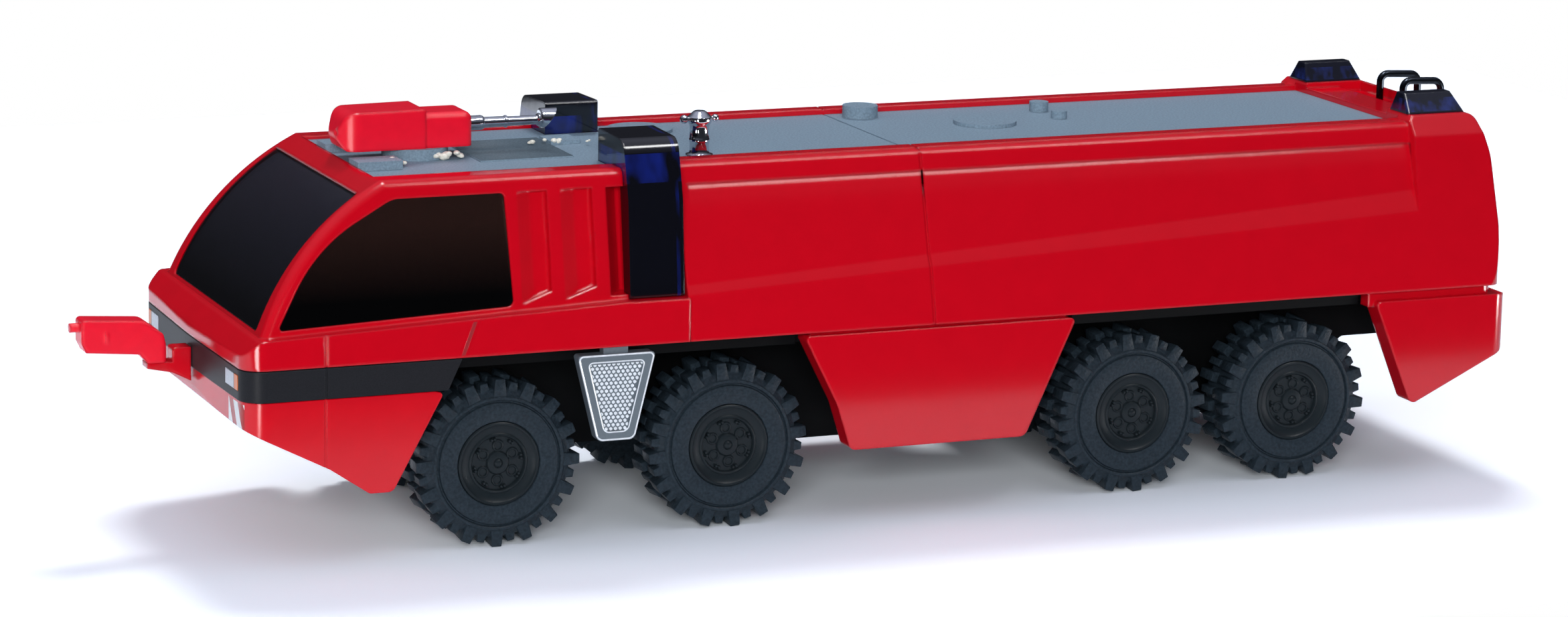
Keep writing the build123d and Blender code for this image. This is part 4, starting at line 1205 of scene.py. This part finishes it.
@dataclass(frozen=True)
class CabRoof:
    """What lies on the grey cab deck: the ribs of the walkway and crumbs of glue.

    Attributes:
        level: Height of the deck, in millimetres.
        crumbs: For each cluster of crumbs, its X and Y, its size and the number of crumbs.
        crumb_above: Height of the lowest crumbs above the deck.
        seed: Start of the random draws.
        lumps: Bumps of a crumb in a metre.
        swell: Height of the bumps as a share of the crumb.
        field_x: Ends of the walkway along X.
        field_width: Distance between its outer ribs.
        ridges: Number of ribs.
        rib: Width and height of a rib.
        rib_above: Height of its middle above the deck.
    """

    level: float = 34.2
    crumbs: tuple[tuple[float, float, float, int], ...] = (
        (40.6, 4.9, 0.55, 3),
        (36.1, 2.7, 0.62, 9),
        (34.9, 2.9, 0.5, 5),
        (26.0, -1.1, 0.4, 3),
        (23.9, -2.0, 0.42, 3),
        (22.4, -1.9, 0.42, 3),
        (20.6, -0.9, 0.3, 2),
    )
    crumb_above: float = 0.16
    seed: int = 7
    lumps: float = 2200.0
    swell: float = 0.35
    field_x: tuple[float, float] = (24.03, 33.1)
    field_width: float = 9.9
    ridges: int = 30
    rib: tuple[float, float] = (0.14, 0.12)
    rib_above: float = 0.14

    def glue(self, material: Material) -> bpy.types.Object:
        """Build the crumbs of dried glue.

        Args:
            material: Its material.

        Returns:
            The piece.
        """
        rng = random.Random(self.seed)
        shape = bmesh.new()
        for x, y, size, count in self.crumbs:
            for _ in range(count):
                crumb = bmesh.new()
                radius = size * MM * rng.uniform(0.42, 0.8)
                bmesh.ops.create_icosphere(crumb, subdivisions=2, radius=radius)
                seed = Vector([rng.uniform(0, 9) for _ in range(3)])
                for vert in crumb.verts:
                    vert.co *= 1 + self.swell * noise.noise(vert.co * self.lumps + seed)
                bmesh.ops.scale(crumb, vec=(1.15, 1.0, 0.75), verts=crumb.verts)
                # a cluster is drawn out along X, and its crumbs lie over each other
                place = at(
                    x + rng.uniform(-1, 1) * size * 1.6, y + rng.uniform(-0.6, 0.6) * size,
                    self.level + self.crumb_above + size * rng.uniform(0.15, 0.9),
                )
                stamp(shape, crumb, (place @ spun(rng.uniform(0, 360)),))
        return finish_piece("glue_crumbs", shape, material, "truck_body")

    def tread(self, material: Material) -> bpy.types.Object:
        """Build the fine ribs of the walkway behind the monitor.

        Args:
            material: Its material.

        Returns:
            The piece.
        """
        shape = bmesh.new()
        rear, front = self.field_x
        ridge = block((front - rear, *self.rib), bevel_mm=0.03, segments=1)
        gap = self.field_width / (self.ridges - 1)
        stamp(shape, ridge, [
            at((front + rear) / 2, gap * i - self.field_width / 2, self.level + self.rib_above)
            for i in range(self.ridges)
        ])
        return finish_piece("walkway_ridges", shape, material, "truck_body")


@dataclass(frozen=True)
class Post:
    """Plated post with a cross arm and two balls on the left edge of the tank deck.

    Attributes:
        place: Middle of its foot, in millimetres.
        arm_z: Height of the arm above the foot.
        arm: Half of the arm's length.
        rod_r: Radius of the arm.
        balls: Radii of the ball at its rear and the one at its front.
    """

    place: tuple[float, float, float] = (12.73, 8.4, 34.2)
    arm_z: float = 3.65
    arm: float = 1.55
    rod_r: float = 0.2
    balls: tuple[float, float] = (0.36, 0.42)

    def build(self, material: Material) -> bpy.types.Object:
        """Build the post.

        Args:
            material: Its material.

        Returns:
            The piece.
        """
        stem = (
            (0.0, 0.0), (1.32, 0.0), (1.35, 0.12), (1.28, 0.32), (1.02, 0.42), (0.94, 0.56),
            (0.92, 0.8), (0.92, 1.45), (0.98, 1.55), (0.98, 1.75), (0.92, 1.85), (0.92, 2.9),
            (1.0, 3.14), (1.16, 3.36), (1.2, 3.6), (1.16, 3.84), (0.94, 4.0), (0.68, 4.28),
            (0.5, 4.4), (0.0, 4.43),
        )
        shape = lathe(stem, steps=48)
        arm, radius = self.arm, self.rod_r
        rod = lathe(((0.0, -arm), (radius, -arm), (radius, arm), (0.0, arm)), steps=20)
        stamp(shape, rod, (at(0, 0, self.arm_z) @ spun(90, "Y"),))
        for offset, radius in zip((-arm, arm), self.balls):
            ball = bmesh.new()
            bmesh.ops.create_icosphere(ball, subdivisions=4, radius=radius * MM)
            stamp(shape, ball, (at(offset, 0, self.arm_z),))
        bmesh.ops.transform(shape, matrix=at(*self.place), verts=shape.verts)
        return finish_piece(
            "plated_post", shape, material, "truck_body", ("chrome_post",),
        )


@dataclass(frozen=True)
class MonitorBarrel:
    """Plated stepped barrel of the roof monitor with its obliquely cut nozzle.

    Attributes:
        start_x: X of its rear end, in millimetres.
        axis_z: Height of its axis.
        nozzle_r: Outer radius of the nozzle.
        nozzle: Start and end of the nozzle along the barrel.
        nozzle_up: Height of its axis over the barrel's.
        wall: Wall of the nozzle.
        bore_from: Depth of the bore's floor from the nozzle's start.
        cut_place: Point of the cut, up from the axis and along from the nozzle's start.
        cut_square: Upward and lengthwise part of the direction square to the cut.
    """

    start_x: float = 32.88
    axis_z: float = 37.0
    nozzle_r: float = 0.95
    nozzle: tuple[float, float] = (7.25, 10.85)
    nozzle_up: float = 0.15
    wall: float = 0.16
    bore_from: float = 0.4
    cut_place: tuple[float, float] = (-1.2, 0.15)
    cut_square: tuple[float, float] = (-2.4, 3.3)

    def build(self, material: Material) -> bpy.types.Object:
        """Build the barrel.

        Args:
            material: Its material.

        Returns:
            The piece.
        """
        tube = (
            (0.0, -0.2), (0.62, -0.2), (0.7, -0.1), (0.7, 1.5), (0.64, 1.68), (0.52, 1.76),
            (0.5, 3.75), (0.58, 3.85), (0.58, 4.02), (0.46, 4.12), (0.44, 7.0), (0.6, 7.12),
            (0.62, 7.35), (0.0, 7.4),
        )
        shape = lathe(tube, steps=32)
        near, far = self.nozzle
        inner = self.nozzle_r - self.wall
        pipe = lathe((
            (0.0, near), (inner, near), (self.nozzle_r, near + 0.15), (self.nozzle_r, far),
            (inner, far), (inner, near + self.bore_from), (0.0, near + self.bore_from),
        ), steps=40)
        (up, along), (cut_x, cut_z) = self.cut_place, self.cut_square
        cut = bmesh.ops.bisect_plane(
            pipe, geom=pipe.verts[:] + pipe.edges[:] + pipe.faces[:],
            plane_co=Vector((up, 0.0, near + along)) * MM,
            plane_no=Vector((cut_x, 0.0, cut_z)).normalized(), clear_outer=True,
        )
        loops = [item for item in cut["geom_cut"] if isinstance(item, bmesh.types.BMEdge)]
        bmesh.ops.bridge_loops(pipe, edges=loops)
        stamp(shape, pipe, (at(self.nozzle_up, 0, 0),))
        lay = at(self.start_x, 0, self.axis_z) @ spun(-90, "Y")
        bmesh.ops.transform(shape, matrix=lay, verts=shape.verts)
        return finish_piece(
            "plated_barrel", shape, material, "roof_monitor",
            ("roof_monitor_barrel",),
        )


@dataclass(frozen=True)
class Ladder:
    """Ladder of round wire whose two rails arch over the rear edge of the roof.

    Attributes:
        half: Half of the distance between the rails, in millimetres.
        gauge: Radius of the rails.
        bend: Radius of their bends.
        foot_x: X of the rails' front ends, on the tank deck.
        rail_x: X of their upright part.
        wall_x: X of their lower ends, in the rear wall.
        trough_z: Height of their front ends.
        arch_z: Height of the arches at their front.
        arch_drop: Fall of the arches towards the rear.
        foot_z: Height of the lower ends.
        rim_z: Height of the roof edge.
        rungs: Number of rungs.
        rung_r: Radius of the rungs.
    """

    half: float = 2.3
    gauge: float = 0.37
    bend: float = 0.85
    foot_x: float = -65.97
    rail_x: float = -70.32
    wall_x: float = -69.57
    trough_z: float = 34.3
    arch_z: float = 36.95
    arch_drop: float = 0.2
    foot_z: float = 20.6
    rim_z: float = 34.75
    rungs: int = 5
    rung_r: float = 0.3

    def build(self, material: Material) -> bpy.types.Object:
        """Build the rails and rungs.

        Args:
            material: Its material.

        Returns:
            The piece.
        """
        shape = bmesh.new()
        points = [Vector((x, 0, z)) for x, z in (
            (self.foot_x, self.trough_z), (self.foot_x, self.arch_z),
            (self.rail_x, self.arch_z - self.arch_drop), (self.rail_x, self.foot_z),
            (self.wall_x, self.foot_z),
        )]
        rail = wire(points, self.gauge, self.bend)
        stamp(shape, rail, [at(0, side.value * self.half, 0) for side in Side])
        pitch = (self.rim_z - self.foot_z) / (self.rungs + 1)
        half, radius = self.half, self.rung_r
        rung = lathe(((0.0, -half), (radius, -half), (radius, half), (0.0, half)), steps=16)
        stamp(shape, rung, [
            at(self.rail_x, 0, self.foot_z + pitch * (i + 1)) @ spun(90, "X")
            for i in range(self.rungs)
        ])
        return finish_piece(
            "wire_ladder", shape, material, "truck_body", ("rear_ladder",),
        )


# Studio

@dataclass(frozen=True)
class SoftBox:
    """One rectangular studio lamp.

    Attributes:
        name: Name of the lamp.
        place: Where it stands, in metres.
        size: Width and height, in metres.
        power: Power in watts.
        target: Point that it faces, in metres.
        glint: Whether it only shows as a reflection; the others only light.
    """

    name: str
    place: tuple[float, float, float]
    size: tuple[float, float]
    power: float
    target: tuple[float, float, float] = (0.0, 0.0, 0.02)
    glint: bool = False

    def build(self) -> bpy.types.Object:
        """Make the lamp.

        Returns:
            The lamp.
        """
        data = bpy.data.lights.new(self.name, "AREA")
        data.shape = "RECTANGLE"
        data.size, data.size_y = self.size
        data.energy = self.power
        lamp = bpy.data.objects.new(self.name, data)
        bpy.context.scene.collection.objects.link(lamp)
        lamp.visible_diffuse = not self.glint
        lamp.visible_glossy = self.glint
        lamp.location = self.place
        aim = Vector(self.target) - Vector(self.place)
        lamp.rotation_euler = aim.to_track_quat("-Z", "Y").to_euler()
        return lamp


@dataclass(frozen=True)
class Studio:
    """Pale table of limited size in a plain surround, with soft boxes.

    Attributes:
        card_x: Ends of the card along X, in millimetres.
        card_y: Ends of the card along Y.
        card_tint: Tint of the card, as sRGB hex.
        card_white: Share of the light that it gives to the truck.
        card_seen: Share of the light that it shows to the camera.
        sky: Slopes between which the sky brightens, and its strengths below and above them.
        backdrop: The same for the paler strip over the horizon.
        sky_tint: Tint of the light from the surround.
        boxes: The lamps.
    """

    card_x: tuple[float, float] = (-200.0, 200.0)
    card_y: tuple[float, float] = (-220.0, 63.0)
    card_tint: str = "#ecf3fa"
    card_white: float = 0.9
    card_seen: float = 1.38
    sky: tuple[float, float, float, float] = (0.4, 0.9, 0.03, 0.55)
    backdrop: tuple[float, float, float, float] = (0.31, 0.39, 0.008, 0.15)
    sky_tint: str = "#e4e8ff"
    boxes: Sequence[SoftBox] = ()

    def build(self) -> None:
        """Make the table, the surround and the lamps."""
        self.table()
        self.world()
        for box in self.boxes:
            box.build()

    def table(self) -> bpy.types.Object:
        """Make the white card that the truck stands on.

        Returns:
            The card.
        """
        shape = bmesh.new()
        bmesh.ops.create_grid(shape, x_segments=1, y_segments=1, size=0.5)
        length, width = ((end - start) * MM for start, end in (self.card_x, self.card_y))
        middle = at(sum(self.card_x) / 2, sum(self.card_y) / 2, 0.0)
        stretch = Matrix.Diagonal((length, width, 1.0, 1.0))
        bmesh.ops.transform(shape, matrix=middle @ stretch, verts=shape.verts)
        mesh = bpy.data.meshes.new("white_card")
        shape.to_mesh(mesh)
        shape.free()
        card = bpy.data.objects.new("white_card", mesh)
        bpy.context.scene.collection.objects.link(card)
        mesh.materials.append(self.card_material())
        return card

    def card_material(self) -> Material:
        """Matt white card that the camera sees over-exposed, so only its shadows show.

        Returns:
            The material.
        """
        material, tree = new_material("matt_white_card")
        ray = add_node(tree, "LightPath")
        direct = add_node(
            tree, "Math",
            {0: ray.outputs["Is Camera Ray"], 1: ray.outputs["Is Glossy Ray"]},
            operation="MAXIMUM",
        )
        seen = add_node(
            tree, "MapRange",
            {"Value": direct.outputs[0], "To Min": self.card_white, "To Max": self.card_seen},
        )
        grain = add_node(
            tree, "MapRange",
            {"Value": grain_of(tree, size_mm=0.4), "To Min": 0.98, "To Max": 1.02},
        )
        level = add_node(
            tree, "Math", {0: seen.outputs["Result"], 1: grain.outputs["Result"]},
            operation="MULTIPLY",
        )
        cool = add_node(
            tree, "VectorMath", {0: level.outputs[0], 1: linear(self.card_tint)[:3]},
            operation="MULTIPLY",
        )
        matt = add_node(tree, "BsdfDiffuse", {"Color": cool.outputs["Vector"]})
        add_node(tree, "OutputMaterial", {"Surface": matt.outputs["BSDF"]})
        return material

    def world(self) -> None:
        """Show the surround white, and light with a dim horizon under a brighter sky."""
        world = bpy.data.worlds.new("plain_surround")
        bpy.context.scene.world = world
        world.use_nodes = True
        tree = world.node_tree
        tree.nodes.clear()
        ray = add_node(tree, "LightPath")
        shown = add_node(
            tree, "Math",
            {0: ray.outputs["Is Camera Ray"], 1: ray.outputs["Is Transmission Ray"]},
            operation="MAXIMUM",
        )
        place = add_node(tree, "TexCoord")
        axes = add_node(tree, "SeparateXYZ", {0: place.outputs["Generated"]})
        sky, backdrop = (
            add_node(tree, "MapRange", {
                "Value": axes.outputs["Z"], "From Min": start, "From Max": end,
                "To Min": low, "To Max": high,
            }).outputs["Result"]
            for start, end, low, high in (self.sky, self.backdrop)
        )
        level = add_node(tree, "Math", {0: sky, 1: backdrop}, operation="MAXIMUM")
        strength = add_node(
            tree, "Math", {0: level.outputs[0], 1: shown.outputs[0]}, operation="MAXIMUM",
        )
        tint = blended(tree, shown.outputs[0], linear(self.sky_tint), linear("#ffffff"))
        light = add_node(tree, "Background", {"Color": tint, "Strength": strength.outputs[0]})
        add_node(tree, "OutputWorld", {"Surface": light.outputs["Background"]})


@dataclass(frozen=True)
class PhotoCamera:
    """Camera solved on the wheels, the deck edges and the windscreen of the photograph.

    Attributes:
        position_mm: Its place, in millimetres.
        yaw_deg: Turn about the vertical, from looking along -Y.
        pitch_deg: Tilt down.
        roll_deg: Turn about its own axis.
        focal_px: Focal length in pixels of the photograph.
        image_width_px: Width of the photograph in pixels.
        sensor_mm: Width of the sensor.
    """

    position_mm: tuple[float, float, float] = (170.363, 405.267, 110.041)
    yaw_deg: float = 22.761
    pitch_deg: float = 11.923
    roll_deg: float = 1.052
    focal_px: float = 6993.19
    image_width_px: float = 2362.0
    sensor_mm: float = 36.0

    def build(self) -> bpy.types.Object:
        """Make the camera and set it as the scene's.

        Returns:
            The camera.
        """
        yaw, pitch, roll = (
            math.radians(a) for a in (self.yaw_deg, self.pitch_deg, self.roll_deg)
        )
        right = Vector((-math.cos(yaw), math.sin(yaw), 0.0))
        forward = Vector((
            -math.sin(yaw) * math.cos(pitch),
            -math.cos(yaw) * math.cos(pitch),
            -math.sin(pitch),
        ))
        up = right.cross(forward)
        across = math.cos(roll) * right + math.sin(roll) * up
        upright = math.cos(roll) * up - math.sin(roll) * right
        data = bpy.data.cameras.new("photo_camera")
        data.sensor_width = self.sensor_mm
        data.lens = self.focal_px * self.sensor_mm / self.image_width_px
        data.clip_start = 0.01
        data.clip_end = 20.0
        camera = bpy.data.objects.new("photo_camera", data)
        bpy.context.scene.collection.objects.link(camera)
        turn = Matrix((across, upright, -forward)).transposed().to_4x4()
        camera.matrix_world = Matrix.Translation(Vector(self.position_mm) * MM) @ turn
        bpy.context.scene.camera = camera
        return camera


SOFT_BOXES = (
    # name, place, size and power; the glints light nothing and show as reflections alone
    SoftBox("top_strip", (-0.2, 0.2, 0.6), (1.1, 0.08), 0.5),
    SoftBox("side_box", (0.25, 0.62, 0.2), (0.3, 0.2), 3.4),
    SoftBox("nose_box", (0.6, -0.05, 0.3), (0.15, 0.15), 0.6, target=(0.05, 0.0, 0.02)),
    SoftBox("rear_box", (-0.16, -0.36, 0.66), (0.2, 0.16), 2.8),
    SoftBox("glint_over_edges", (-0.27, 0.28, 0.6), (0.26, 0.1), 1.3, glint=True),
    SoftBox("glint_rear_side", (-0.5, 0.3, -0.09), (0.12, 0.13), 2.7, glint=True),
    SoftBox("glint_nose_side", (0.36, 0.46, -0.09), (0.1, 0.12), 0.85, glint=True),
    SoftBox("glint_over_cab", (0.05, 0.06, 0.62), (0.1, 0.24), 4.0, glint=True),
)


def dress_frame(materials: Mapping[str, Material]) -> None:
    """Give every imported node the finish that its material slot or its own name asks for.

    Args:
        materials: Materials by slot, and by node name where a node has its own.
    """
    slots = {part["node"]: part["material_slot"] for part in frame["record"]["subparts"]}
    for node, piece in frame["nodes"].items():
        piece.data.materials.clear()
        piece.data.materials.append(materials.get(node, materials[slots[node]]))
        log.info("dressed %s in %s", node, slots[node])


WHEEL_PLACES = {
    # axle: its X in millimetres, angle of a long lug from the top towards the front
    1: (34.53, -1.0),
    2: (11.88, 6.0),
    3: (-30.27, 6.0),
    4: (-47.87, -5.7),
}


def main() -> None:
    """Build the camera, the studio and the dressed truck."""
    logging.basicConfig(level=logging.INFO, format="%(name)s: %(message)s")
    bpy.context.scene.view_settings.view_transform = "Standard"
    PhotoCamera().build()
    Studio(boxes=SOFT_BOXES).build()
    materials = {slot: finish.build() for slot, finish in FINISHES.items()}
    for finish, nodes in NODE_FINISHES.items():
        materials |= dict.fromkeys(nodes, finish.build())
    dress_frame(materials)
    studs = STEP_STUDS_PAINTED_HIGHLIGHT.build()
    for side in Side:
        for number, (axle_x, phase) in WHEEL_PLACES.items():
            wheel = Wheel(number, side, axle_x, phase)
            wheel.tyre(materials["tyre_rubber"])
            wheel.rim(materials["rim_plastic"])
        step = EntryStep(side)
        step.edging(studs)
        step.studs(studs)
    Post().build(materials["chrome_plating"])
    MonitorBarrel().build(materials["chrome_plating"])
    Ladder().build(DARK_WIRE.build())
    roof = CabRoof()
    roof.glue(GLUE.build())
    roof.tread(WALKWAY.build())


if __name__ == "__main__":
    main()
